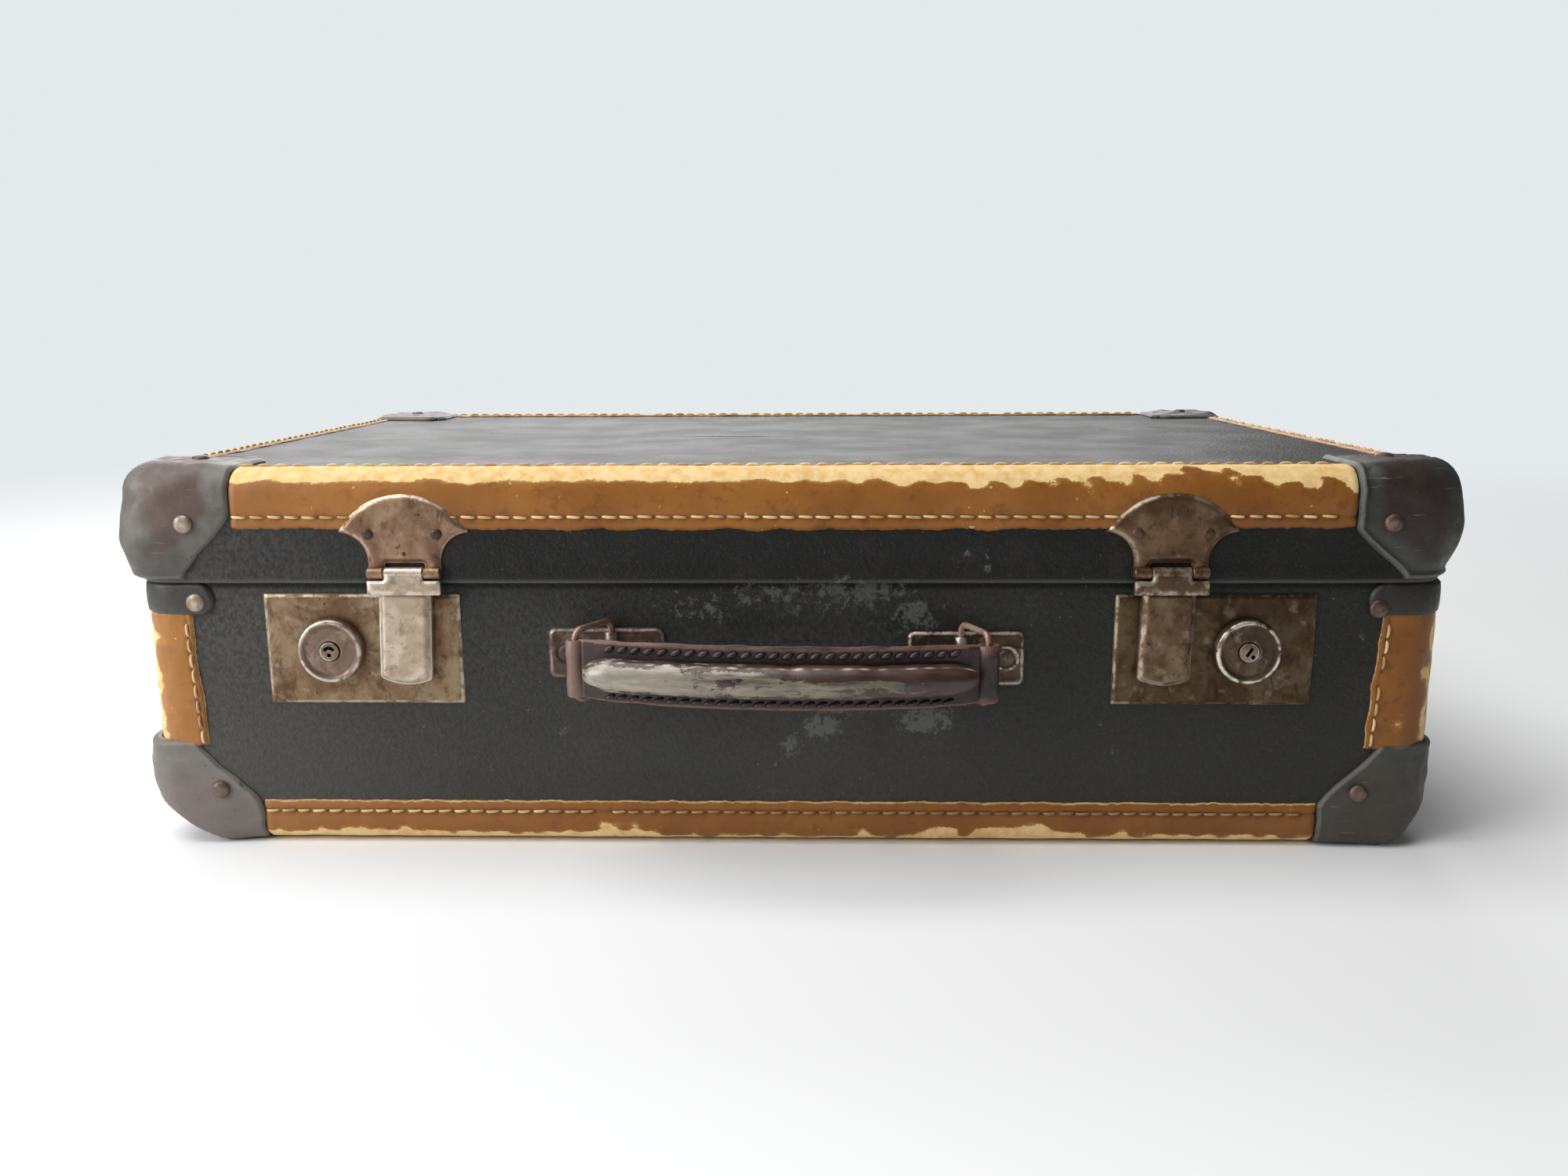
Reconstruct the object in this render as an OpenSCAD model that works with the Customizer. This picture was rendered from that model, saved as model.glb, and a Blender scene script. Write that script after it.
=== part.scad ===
// Cardboard suitcase of the old pressed-board kind: a base tray, a telescoping lid,
// sewn edge bindings, riveted corner caps, two hasp locks and a leather handle.
// +X is to the right, +Y to the back, +Z up. The case stands on its four base caps at z = 0.

/* [Case] */
// Width of the base box over its covering, left to right
body_w = 486; // [440:1:520]
// Depth of the base box over its covering, front to back
body_d = 310; // [280:1:340]
// Height of the base box
base_h = 100.6; // [95:0.2:125]
// Height of the lid box
lid_h = 41.4; // [40:0.2:60]
// How far each lid wall stands out past the base wall
lid_overhang = 2.5; // [2:0.1:4]
// Thickness of the covered board
board_t = 2.6; // [2.2:0.1:3]
// Thickness of the paper lining
lining_t = 0.5; // [0.3:0.1:0.8]
// Radius of the upright corners of the base
corner_r = 14; // [11:0.5:18]
// Radius of the lid's top edge
lid_edge_r = 9; // [6:0.5:11]
// Radius of the base's bottom edge
base_edge_r = 5; // [4:0.5:8]
// Gap between the closed lid and the base
seam_gap = 0.3; // [0.2:0.1:0.6]

/* [Inner lip] */
// Thickness of the lip that the lid closes over
lip_t = 1.6; // [1.2:0.1:2]
// Height of the lip above the base wall
lip_above = 10; // [7:0.5:14]
// Depth of the lip below the top of the base wall
lip_below = 8.5; // [6:0.5:9]

/* [Bindings] */
// Thickness of the sewn binding strips
trim_t = 1; // [0.7:0.1:1.4]
// Height of the lid binding on the lid walls
lid_binding_h = 21; // [16:0.5:24]
// Height of the bottom binding on the base walls
base_binding_h = 13.5; // [10:0.5:16]
// Width of the bindings on the top and the bottom of the case
binding_flange = 12; // [9:0.5:15]
// Reach of the upright corner bindings along each wall
corner_binding_w = 22; // [18:0.5:24]

/* [Corner caps] */
// Thickness of a cap over the binding
cap_t = 1; // [0.7:0.1:1.4]
// Reach of a cap along each wall
cap_reach = 43; // [38:0.5:48]
// Height at which the slanted edge of a cap begins, from its closed end
cap_knee = 21; // [19:0.5:24]
// Reach of a cap along each wall at its open end
cap_tip = 22; // [20:0.5:26]
// Height of a base cap
base_cap_h = 38.8; // [34:0.2:44]
// Gap left between a lid cap and the lid's lower edge
lid_cap_margin = 1.2; // [0.8:0.1:3]
// Length of the cut across the flat corner of a cap
cap_cut = 14; // [8:1:20]
// Thickness of the corner bands at the mouth of the base
band_t = 1.6; // [1.2:0.1:2]
// Height of the corner bands
band_h = 12.6; // [10:0.2:15]
// Reach of the corner bands along each wall
band_reach = 29; // [26:0.5:34]

/* [Rivets] */
// Radius of a cap rivet's head
rivet_r = 3.8; // [3:0.1:4.4]
// Height of a cap rivet's head
rivet_h = 1.5; // [1:0.1:2]
// Radius of a rivet's shank
shank_r = 1.5; // [1:0.1:1.8]
// Distance of a cap rivet from the box's edges
rivet_in = 25; // [22:0.5:28]
// Distance of a cap rivet from the closed end of the box
rivet_up = 20; // [16:0.5:24]
// Distance of a band rivet from the upright edge
band_rivet_in = 22.5; // [20:0.5:25]

/* [Hinges] */
// Distance of each hinge's middle from the case's middle
hinge_x = 150; // [110:1:190]
// Width of a hinge
hinge_w = 44; // [34:1:60]
// Height of a hinge leaf on the base
lower_leaf_h = 24; // [18:1:30]
// Height of a hinge leaf on the lid
upper_leaf_h = 15; // [12:0.5:18]
// Thickness of a hinge leaf
leaf_t = 0.9; // [0.7:0.1:1.2]
// Radius of a hinge knuckle
knuckle_r = 2.4; // [2.2:0.1:2.6]
// Radius of a hinge pin
pin_r = 1.25; // [1:0.05:1.4]

/* [Locks] */
// Distance of a lock plate's middle from the case's middle
lock_x = 158.3; // [150:0.5:170]
// Height of the lock plates' middle
lock_z = 77.3; // [74:0.1:79]
// Width of a lock plate
lock_plate_w = 73.8; // [68:0.2:80]
// Height of a lock plate
lock_plate_h = 42.3; // [38:0.1:44]
// Thickness of a lock plate
lock_plate_t = 1.2; // [1:0.1:1.4]
// Distance of a knob from its plate's middle, away from the case's middle
knob_out = 11.7; // [11:0.1:13]
// Radius of a lock knob
knob_r = 12.25; // [11:0.05:13]
// Height of a lock knob over its plate
knob_h = 4.2; // [3.6:0.1:5]
// Travel of a lock knob
knob_travel = 7; // [4:0.5:7]
// Radius of a key barrel
barrel_r = 3.75; // [3.4:0.05:4.2]
// Depth of a lock case behind the covering
lock_case_depth = 9.5; // [8:0.5:12]
// Width of a lock case
lock_case_w = 64; // [60:0.5:66]
// Height of a lock case
lock_case_h = 30; // [26:0.5:31]

/* [Hasps] */
// Distance of a hasp's middle from the case's middle
hasp_x = 140.2; // [138:0.2:143]
// Height of a hasp's pin above the lid's lower edge
hasp_pin_up = 4.1; // [3.8:0.1:6]
// Radius of the round part of a hasp plate
fan_r = 27.3; // [25:0.1:28]
// Height of the fan's centre above the hasp's pin
fan_up = 2.3; // [2:0.1:4]
// Half width of a hasp plate's neck
fan_neck = 13.5; // [12:0.1:14.5]
// Thickness of a hasp plate
fan_t = 1.2; // [0.9:0.1:1.4]
// Half width of the hasp's middle knuckle
hasp_knuckle_w = 7.1; // [6:0.1:8]
// Half width of a hasp's tongue
tongue_w = 9.7; // [9:0.1:10.5]
// Length of a hasp from its pin to its tip
hasp_l = 42.5; // [40:0.1:44]
// Length of the wide part of a hasp below its pin
hasp_cross_l = 8; // [7:0.1:9]
// Radius of a hasp's pin
hasp_pin_r = 1; // [0.8:0.05:1.2]

/* [Handle] */
// Distance of each ring's upright leg from the case's middle
ring_x = 65; // [60:0.5:70]
// Height of the handle's middle
handle_z = 74.2; // [72:0.1:78]
// Radius of the ring wire
wire_r = 1.1; // [0.9:0.05:1.3]
// Height of a ring between wire middles
ring_h = 26; // [25:0.5:29]
// Length of a ring between wire middles
ring_l = 20; // [18:0.5:24]
// Outward lean of the rings, in degrees
ring_lean = 27; // [22:1:30]
// Width of a handle plate
handle_plate_w = 43.6; // [40:0.2:48]
// Height of a handle plate
handle_plate_h = 19; // [17:0.5:20]
// Thickness of a handle plate
handle_plate_t = 0.9; // [0.7:0.1:1.1]
// Height of the handle's leather strap
strap_h = 21; // [19:0.5:22]
// Thickness of the handle's leather strap
strap_t = 2.4; // [2:0.1:3]
// How far the handle bows outward
handle_bow = 9.5; // [7:0.5:13]
// Radius of the padded roll
roll_r = 6.4; // [5.8:0.1:7]
// Thickness of the leather over the roll
cover_t = 1.1; // [0.9:0.1:1.4]

/* [Hidden] */
$fn = 64;

left = -1;
right = 1;
front = -1;
back = 1;

// Small distances shared by many fits
run_fit = 0.06;    // radial clearance of a pin or barrel that turns
loose_fit = 0.3;   // gap between parts that move past each other
over = 1;          // how far a cutting shape runs past what it cuts

// Heights of the main levels
cap_total = trim_t + cap_t;
base_z = cap_total;
rim_z = base_z + base_h;
lid_z = rim_z + seam_gap;
lid_top = lid_z + lid_h;

// The lid's own outline
lid_w = body_w + 2 * lid_overhang;
lid_d = body_d + 2 * lid_overhang;
lid_corner_r = corner_r + lid_overhang;
lid_cap_h = lid_h - lid_cap_margin;
inside_corner_r = corner_r - board_t;
lining_short = 2;

// Walls of the base, measured from the middle of the case
wall_x = body_w / 2;
wall_y = body_d / 2;
lid_wall_x = lid_w / 2;
lid_wall_y = lid_d / 2;

// Lengths of the bindings between the corner caps
binding_x = body_w - 2 * cap_reach - 2 * run_fit;
binding_y = body_d - 2 * cap_reach - 2 * run_fit;
lid_binding_x = lid_w - 2 * cap_reach - 2 * run_fit;
lid_binding_y = lid_d - 2 * cap_reach - 2 * run_fit;

// Lid hinge axis, just behind the lid's back wall
hinge_y = lid_wall_y + loose_fit + knuckle_r;
hinge_z = rim_z + seam_gap / 2;
knuckle_l = hinge_w / 3;
leaf_rivet_r = 2.2;
leaf_rivet_h = 0.8;
lower_rivet_in = 6;
upper_rivet_in = 5;

// Rivets stop short of the board's inner face
rivet_short = 0.6;
rivet_grip = board_t - rivet_short;

// Lock parts
lock_front = wall_y + lock_plate_t;
knob_x = lock_x + knob_out;
plate_step = 0.8;
notch_w = 8.4;
notch_below = 4.3;
catch_w = 7;
catch_h = 3;
catch_reach = 0.4;
case_wall = 0.8;
case_fit = 0.2;
bolt_t = 1.6;
bolt_h = 8;
bolt_tail = 8;
bolt_front = wall_y - loose_fit;
bolt_nose = hasp_x + catch_w / 2 + loose_fit;
bolt_end = knob_x + bolt_tail;
knob_shank_r = 2.4;
knob_edge_r = 2.4;
barrel_seat = 3.2;
barrel_proud = 0.3;
key_slot_w = 1;
key_slot_l = 5;
key_slot_depth = 2;
spring_t = 0.5;
spring_w = 4;
spring_top = 9;

// Hasp parts
fan_tip_z = 12.7;
fan_scoop_r = 11;
fan_face = lid_wall_y + trim_t;
hasp_knuckle_r = 2.2;
hasp_y = lid_wall_y + loose_fit + hasp_knuckle_r;
hasp_z = lid_z + hasp_pin_up;
hasp_skin = 1.2;
hasp_front = hasp_y + hasp_knuckle_r;
tongue_step = 1;
tongue_gap = 0.6;
tongue_tip_drop = 2.3;
cross_gap = 0.4;
window_up = 1.4;
nail_x = 12.7;
nail_up = 14.5;
nail_r = 1.9;
nail_h = 0.7;

// Handle parts
ring_gap = 0.5;
ring_y = wall_y + wire_r + ring_gap;
ring_bend = 3.5;
tunnel_wall = 0.9;
tunnel_r = wire_r + loose_fit + tunnel_wall;
tunnel_h = 17;
plate_out = 2;
handle_plate_x = ring_x + plate_out;
plate_corner_r = 3;
plate_rivet_x = 15;
plate_rivet_r = 3.4;
plate_rivet_h = 0.9;
bar_x = ring_x + ring_l * sin(ring_lean);
bar_y = ring_y + ring_l * cos(ring_lean);
loop_r = 3.2;
right_loop_gap = 0.7;
bow_r = (bar_x * bar_x + handle_bow * handle_bow) / (2 * handle_bow);
bow_angle = asin(bar_x / bow_r);
bow_y = bar_y + handle_bow - bow_r;
facing_t = 1;
facing_end = 7;
facing_angle = asin((bar_x - facing_end) / bow_r);
roll_angle = asin((bar_x - facing_end - roll_r) / bow_r);
core_angle = asin((bar_x - facing_end - roll_r - run_fit) / bow_r);
roll_out = 2.4;
roll_middle = strap_t / 2 + facing_t + roll_out;
handle_front = bow_y + bow_r + roll_middle + roll_r;

// The origin is under the middle of the whole part, from the handle's front to the hinges' back
hinge_back = hinge_y + knuckle_r;
case_y = (handle_front - hinge_back) / 2;

// Moves a piece from the middle of the case to its place over the origin
module placed() {
  translate([0, case_y, 0]) children();
}

// Mirrors a piece made for the right side or the back to the side asked for
module on_side(side_x, side_y = back) {
  scale_x = side_x < 0 ? 1 : 0;
  scale_y = side_y < 0 ? 1 : 0;
  mirror([scale_x, 0, 0]) mirror([0, scale_y, 0]) children();
}

// Turns a piece that points up so that it points out of a wall
module out_front() {
  rotate([90, 0, 0]) children();
}
module out_back() {
  rotate([-90, 0, 0]) children();
}
module out_side(side) {
  rotate([0, 90 * side, 0]) children();
}

// Half of a box's upright section: its outline grown by a distance, with a round lower edge.
// x runs outward from the middle of the corner's curve, y runs up from the closed end.
module box_profile(r, h, edge, grow, extra = 0) {
  reach = r + grow;
  round_r = edge + grow;
  translate([0, -grow]) {
    translate([0, round_r]) square([reach, h + grow + extra - round_r]);
    square([reach - round_r, h + grow + extra]);
    translate([reach - round_r, round_r]) intersection() {
      circle(round_r);
      translate([0, -round_r]) square(round_r);
    }
  }
}

// A skin between two distances from the box's outline
module skin_profile(r, h, edge, inner, outer) {
  difference() {
    box_profile(r, h, edge, outer);
    box_profile(r, h, edge, inner, over);
  }
}

// Sweeps a section along one straight wall
module along_wall(reach, length) {
  translate([reach, length / 2, 0]) rotate([90, 0, 0]) linear_extrude(length) children();
}

// Sweeps a section all round a box with round upright corners
module around_box(w, d, r) {
  centre_x = w / 2 - r;
  centre_y = d / 2 - r;
  for (turn = [0, 180]) rotate([0, 0, turn]) {
    along_wall(centre_x, 2 * centre_y) children();
    translate([centre_x, centre_y, 0]) rotate_extrude(angle = 90) children();
    rotate([0, 0, 90]) along_wall(centre_y, 2 * centre_x) children();
    translate([-centre_x, centre_y, 0]) rotate([0, 0, 90]) rotate_extrude(angle = 90) children();
  }
}

// An open box of even thickness between two distances from its outline, closed at z = 0
module open_box(w, d, h, r, edge, inner, outer) {
  around_box(w, d, r) skin_profile(r, h, edge, inner, outer);
  translate([r - w / 2, r - d / 2, -outer]) cube([w - 2 * r, d - 2 * r, outer - inner]);
}

// One corner of such a skin, at the front left corner of a box that starts at the origin
module corner_skin(r, h, edge, reach, inner, outer) {
  translate([r, r, 0]) rotate([0, 0, 180]) rotate_extrude(angle = 90)
    skin_profile(r, h, edge, inner, outer);
  translate([r, (reach + r) / 2, 0]) rotate([0, 0, 180]) along_wall(0, reach - r)
    skin_profile(r, h, edge, inner, outer);
  translate([(reach + r) / 2, r, 0]) rotate([0, 0, -90]) along_wall(0, reach - r)
    skin_profile(r, h, edge, inner, outer);
}

// Puts a piece made for the front left corner on the corner asked for
module at_corner(side_x, side_y, half_w, half_d) {
  mirror([side_x > 0 ? 1 : 0, 0, 0]) mirror([0, side_y > 0 ? 1 : 0, 0])
    translate([-half_w, -half_d, 0]) children();
}

// Puts a fastener on both walls of every corner, pointing out, at a distance from the walls
module at_wall_rivets(half_w, half_d, in, z, proud) {
  for (side_x = [left, right]) {
    translate([side_x * (half_w - in), -half_d - proud, z]) out_front() children();
    translate([side_x * (half_w - in), half_d + proud, z]) out_back() children();
    for (side_y = [front, back])
      translate([side_x * (half_w + proud), side_y * (half_d - in), z]) out_side(side_x) children();
  }
}

// A fastener with a domed head that points up and a shank that points down
module rivet(head_r, head_h, shank_l) {
  dome_r = (head_r * head_r + head_h * head_h) / (2 * head_h);
  rotate_extrude() intersection() {
    translate([0, head_h - dome_r]) circle(dome_r);
    square([head_r, head_h]);
  }
  translate([0, 0, -shank_l]) cylinder(r = shank_r, h = shank_l);
}

// The hole that a rivet's shank needs
module rivet_hole(depth) {
  translate([0, 0, -depth - run_fit]) cylinder(r = shank_r + run_fit, h = depth + over);
}

// Rivets on the walls of the base and of the lid
module base_cap_rivets() {
  at_wall_rivets(wall_x, wall_y, rivet_in, base_z + rivet_up, cap_total) children();
}
module band_rivets() {
  at_wall_rivets(wall_x, wall_y, band_rivet_in, rim_z - band_h / 2, band_t) children();
}
module lid_wall_rivets() {
  at_wall_rivets(lid_wall_x, lid_wall_y, rivet_in, lid_top - rivet_up, cap_total) children();
}
module lid_top_rivets() {
  for (side_x = [left, right]) for (side_y = [front, back])
    translate([side_x * (lid_wall_x - rivet_in), side_y * (lid_wall_y - rivet_in),
               lid_top + cap_total]) children();
}

// The hinge rivets, on the base's and the lid's back walls
module lower_leaf_rivets() {
  for (side = [left, right]) for (step = [-1, 0, 1])
    translate([side * hinge_x + step * hinge_w / 3, wall_y + leaf_t,
               hinge_z - lower_leaf_h + lower_rivet_in]) out_back() children();
}
module upper_leaf_rivets() {
  for (side = [left, right]) for (step = [-1, 0, 1])
    translate([side * hinge_x + step * hinge_w / 3, lid_wall_y + leaf_t,
               hinge_z + upper_leaf_h - upper_rivet_in]) out_back() children();
}

// Opening in the base's front wall behind a lock plate
module lock_cutout(fit) {
  for (side = [left, right])
    translate([side * lock_x - lock_case_w / 2 - fit, -wall_y - over,
               lock_z - lock_case_h / 2 - fit])
      cube([lock_case_w + 2 * fit, board_t + lining_t + 2 * over, lock_case_h + 2 * fit]);
}

// Base

module base_tray() {
  color([0.21, 0.21, 0.2]) placed() difference() {
    translate([0, 0, base_z]) open_box(body_w, body_d, base_h, corner_r, base_edge_r, -board_t, 0);
    lock_cutout(case_fit);
    base_cap_rivets() rivet_hole(cap_total + rivet_grip);
    band_rivets() rivet_hole(band_t + rivet_grip);
    lower_leaf_rivets() rivet_hole(leaf_t + rivet_grip);
  }
}

module base_lining() {
  color([0.72, 0.62, 0.46]) placed() difference() {
    translate([0, 0, base_z])
      open_box(body_w, body_d, base_h - lip_below, corner_r, base_edge_r,
               -board_t - lining_t, -board_t);
    lock_cutout(case_fit);
  }
}

module inner_lip() {
  lip_w = body_w - 2 * board_t;
  lip_d = body_d - 2 * board_t;
  color([0.62, 0.53, 0.4]) placed() translate([0, 0, rim_z - lip_below])
    around_box(lip_w, lip_d, inside_corner_r)
      translate([inside_corner_r - lip_t, 0]) square([lip_t, lip_above + lip_below]);
}

// Section of a binding that is folded over a box's edge
module binding_profile(r, h, edge, face_h) {
  intersection() {
    skin_profile(r, h, edge, 0, trim_t);
    translate([r - binding_flange, -trim_t]) square([binding_flange + trim_t, face_h + trim_t]);
  }
}

module base_binding(turn, half, length) {
  color([0.63, 0.42, 0.21]) placed() translate([0, 0, base_z]) rotate([0, 0, turn])
    along_wall(half - corner_r, length)
      binding_profile(corner_r, base_h, base_edge_r, base_binding_h);
}

module corner_binding(side_x, side_y) {
  bottom = base_cap_h + run_fit;
  top = base_h - band_h - run_fit;
  color([0.63, 0.42, 0.21]) placed() at_corner(side_x, side_y, wall_x, wall_y)
    translate([0, 0, base_z]) {
      translate([corner_r, corner_r, 0]) rotate([0, 0, 180]) rotate_extrude(angle = 90)
        translate([corner_r, bottom]) square([trim_t, top - bottom]);
      translate([corner_r, -trim_t, bottom])
        cube([corner_binding_w - corner_r, trim_t, top - bottom]);
      translate([-trim_t, corner_r, bottom])
        cube([trim_t, corner_binding_w - corner_r, top - bottom]);
    }
}

// Slanted cut on one wall of a cap, seen along the wall, from the knee to the open end
module cap_slant(h) {
  linear_extrude(3 * cap_total, center = true)
    polygon([[cap_reach, cap_knee], [cap_reach + over, cap_knee], [cap_reach + over, h + over],
             [cap_tip - over * (cap_reach - cap_tip) / (h - cap_knee), h + over], [cap_tip, h]]);
}

// A pressed cap for the lower front left corner of a box
module cap_shape(r, h, edge) {
  flat = cap_reach - r;
  difference() {
    union() {
      corner_skin(r, h, edge, cap_reach, 0, cap_total);
      translate([r, r, -cap_total]) cube([flat, flat, cap_total]);
    }
    rotate([90, 0, 0]) cap_slant(h);
    mirror([1, -1, 0]) rotate([90, 0, 0]) cap_slant(h);
    translate([cap_reach, cap_reach, 0]) rotate([0, 0, 45])
      cube([cap_cut, 4 * cap_cut, 3 * cap_total], center = true);
  }
}

module base_cap(side_x, side_y) {
  color([0.3, 0.29, 0.27]) placed() difference() {
    at_corner(side_x, side_y, wall_x, wall_y)
      translate([0, 0, base_z]) cap_shape(corner_r, base_cap_h, base_edge_r);
    base_cap_rivets() rivet_hole(cap_total + rivet_grip);
  }
}

// A band round an upright corner at the mouth of the base, with a round end on each wall
module mouth_band() {
  straight = band_reach - corner_r;
  translate([corner_r, corner_r, 0]) rotate([0, 0, 180]) rotate_extrude(angle = 90)
    translate([corner_r, 0]) square([band_t, band_h]);
  for (flip = [0, 1]) mirror([flip, -flip, 0]) {
    translate([corner_r, -band_t, 0]) cube([straight - band_h / 2, band_t, band_h]);
    translate([band_reach - band_h / 2, 0, band_h / 2]) rotate([90, 0, 0])
      cylinder(r = band_h / 2, h = band_t);
  }
}

module mouth_bands() {
  color([0.24, 0.24, 0.23]) placed() difference() {
    for (side_x = [left, right]) for (side_y = [front, back])
      at_corner(side_x, side_y, wall_x, wall_y)
        translate([0, 0, rim_z - band_h]) mouth_band();
    band_rivets() rivet_hole(band_t + rivet_grip);
  }
}

module base_rivets() {
  color([0.66, 0.62, 0.56]) placed() {
    base_cap_rivets() rivet(rivet_r, rivet_h, cap_total + rivet_grip);
    band_rivets() rivet(rivet_r, rivet_h, band_t + rivet_grip);
    lower_leaf_rivets() rivet(leaf_rivet_r, leaf_rivet_h, leaf_t + rivet_grip);
  }
}

// Locks, drawn for the right side

// The slot that a knob's shank slides in
module knob_slot() {
  slot_r = knob_shank_r + loose_fit;
  for (travel = [0, knob_travel])
    translate([knob_x + travel, -wall_y + over, lock_z]) out_front()
      cylinder(r = slot_r, h = lock_plate_t + 2 * over);
  translate([knob_x, -lock_front - over, lock_z - slot_r])
    cube([knob_travel, lock_plate_t + 2 * over, 2 * slot_r]);
}

module lock_plate(side) {
  color([0.47, 0.42, 0.34]) placed() on_side(side) difference() {
    union() {
      translate([lock_x - lock_plate_w / 2, -wall_y - lock_plate_t / 2, lock_z - lock_plate_h / 2])
        cube([lock_plate_w, lock_plate_t / 2, lock_plate_h]);
      translate([lock_x - lock_plate_w / 2 + plate_step, -lock_front,
                 lock_z - lock_plate_h / 2 + plate_step])
        cube([lock_plate_w - 2 * plate_step, lock_plate_t / 2, lock_plate_h - 2 * plate_step]);
    }
    knob_slot();
    translate([hasp_x - notch_w / 2, -lock_front - over, lock_z - notch_below])
      cube([notch_w, lock_plate_t + 2 * over, lock_plate_h]);
  }
}

module lock_case(side) {
  color([0.42, 0.4, 0.36]) placed() on_side(side)
    translate([lock_x - lock_case_w / 2, -wall_y, lock_z - lock_case_h / 2]) difference() {
      cube([lock_case_w, lock_case_depth, lock_case_h]);
      translate([case_wall, -over, case_wall])
        cube([lock_case_w - 2 * case_wall, lock_case_depth - case_wall + over,
              lock_case_h - 2 * case_wall]);
    }
}

// The bolt runs behind the plate, from beside the hasp's catch to past the knob
module lock_bolt(side) {
  color([0.55, 0.52, 0.46]) placed() on_side(side) difference() {
    translate([bolt_nose, -bolt_front, lock_z - bolt_h / 2])
      cube([bolt_end - bolt_nose, bolt_t, bolt_h]);
    translate([knob_x, -bolt_front + bolt_t + over, lock_z]) out_front()
      cylinder(r = knob_shank_r, h = bolt_t + 2 * over);
  }
}

// A flat spring folded into a V, between the bolt's end and the end of the lock case
module lock_spring(side) {
  gap = lock_x + lock_case_w / 2 - case_wall - bolt_end;
  foot = -bolt_h / 4;
  color([0.5, 0.48, 0.44]) placed() on_side(side)
    translate([bolt_end, -bolt_front + spring_w, lock_z]) out_front() linear_extrude(spring_w)
      polygon([[0, foot], [spring_t, foot],
               [gap / 2 - spring_t, spring_top - spring_t], [gap / 2 + spring_t, spring_top - spring_t],
               [gap - spring_t, foot], [gap, foot],
               [gap / 2 + 2 * spring_t, spring_top], [gap / 2 - 2 * spring_t, spring_top]]);
}

module lock_knob(side) {
  knob_back = lock_front + loose_fit;
  color([0.52, 0.47, 0.4]) placed() on_side(side)
    translate([knob_x, -knob_back, lock_z]) out_front() difference() {
      union() {
        rotate_extrude() {
          square([knob_r - knob_edge_r, knob_h]);
          square([knob_r, knob_h - knob_edge_r]);
          translate([knob_r - knob_edge_r, knob_h - knob_edge_r]) intersection() {
            circle(knob_edge_r);
            square(knob_edge_r);
          }
        }
        translate([0, 0, bolt_front - bolt_t - knob_back])
          cylinder(r = knob_shank_r, h = knob_back - bolt_front + bolt_t);
      }
      translate([0, 0, knob_h - barrel_seat])
        cylinder(r = barrel_r + run_fit, h = barrel_seat + over);
    }
}

module key_barrel(side) {
  knob_face = lock_front + loose_fit + knob_h;
  color([0.55, 0.5, 0.44]) placed() on_side(side)
    translate([knob_x, -knob_face, lock_z]) out_front() difference() {
      translate([0, 0, run_fit - barrel_seat])
        cylinder(r = barrel_r, h = barrel_seat - run_fit + barrel_proud);
      translate([-key_slot_l / 2, -key_slot_w / 2, -key_slot_depth])
        cube([key_slot_l, key_slot_w, key_slot_depth + over]);
      translate([0, -key_slot_w / 2, -key_slot_depth])
        cylinder(r = key_slot_w, h = key_slot_depth + over);
    }
}

// Hasps, drawn for the right side

// Outline of a hasp plate, with its pin at the origin
module fan_outline() {
  difference() {
    intersection() {
      translate([0, fan_up]) circle(fan_r);
      translate([-fan_r, -0.1]) square([2 * fan_r, 2 * fan_r]);
    }
    for (side = [left, right]) {
      scoop_x = side * (fan_neck + fan_scoop_r);
      scoop_z = fan_up + fan_tip_z - fan_scoop_r;
      translate([scoop_x, scoop_z]) circle(fan_scoop_r);
      translate([scoop_x - fan_scoop_r, scoop_z - fan_r]) square([2 * fan_scoop_r, fan_r]);
    }
    translate([-hasp_knuckle_w - loose_fit, -over])
      square([2 * hasp_knuckle_w + 2 * loose_fit, hasp_knuckle_r + over + window_up]);
  }
}

// A barrel along x round the hasp's pin, from one x to another
module hasp_barrel(from, to, r) {
  translate([from, 0, 0]) rotate([0, 90, 0]) cylinder(r = r, h = to - from);
}

module hasp_plate(side) {
  inner = hasp_knuckle_w + loose_fit;
  color([0.5, 0.4, 0.34]) placed() translate([side * hasp_x, -hasp_y, hasp_z]) difference() {
    union() {
      translate([0, hasp_y - fan_face, 0]) out_front() linear_extrude(fan_t) fan_outline();
      hasp_barrel(-fan_neck, -inner, hasp_knuckle_r);
      hasp_barrel(inner, fan_neck, hasp_knuckle_r);
    }
    hasp_barrel(-fan_neck - over, fan_neck + over, hasp_pin_r + run_fit);
    for (at = [-nail_x, nail_x])
      translate([at, hasp_y - fan_face - fan_t, nail_up]) out_front() rivet_hole(fan_t + over);
  }
}

module hasp_plate_nails() {
  color([0.7, 0.66, 0.6]) placed() for (side = [left, right]) for (at = [-nail_x, nail_x])
    translate([side * hasp_x + at, -fan_face - fan_t, hasp_z + nail_up]) out_front()
      rivet(nail_r, nail_h, fan_t + trim_t + rivet_grip);
}

module hasp_pins() {
  color([0.6, 0.56, 0.5]) placed() for (side = [left, right])
    translate([side * hasp_x, -hasp_y, hasp_z]) hasp_barrel(-fan_neck, fan_neck, hasp_pin_r);
}

// Outline of a hasp's tongue, with its pin at the origin: round at the tip
module tongue_outline(inset) {
  half = tongue_w - inset;
  tip_r = (tongue_w * tongue_w + tongue_tip_drop * tongue_tip_drop) / (2 * tongue_tip_drop);
  intersection() {
    translate([-half, -hasp_l + inset]) square([2 * half, hasp_l - hasp_cross_l]);
    translate([0, -hasp_l + tip_r]) circle(tip_r - inset);
  }
}

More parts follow.
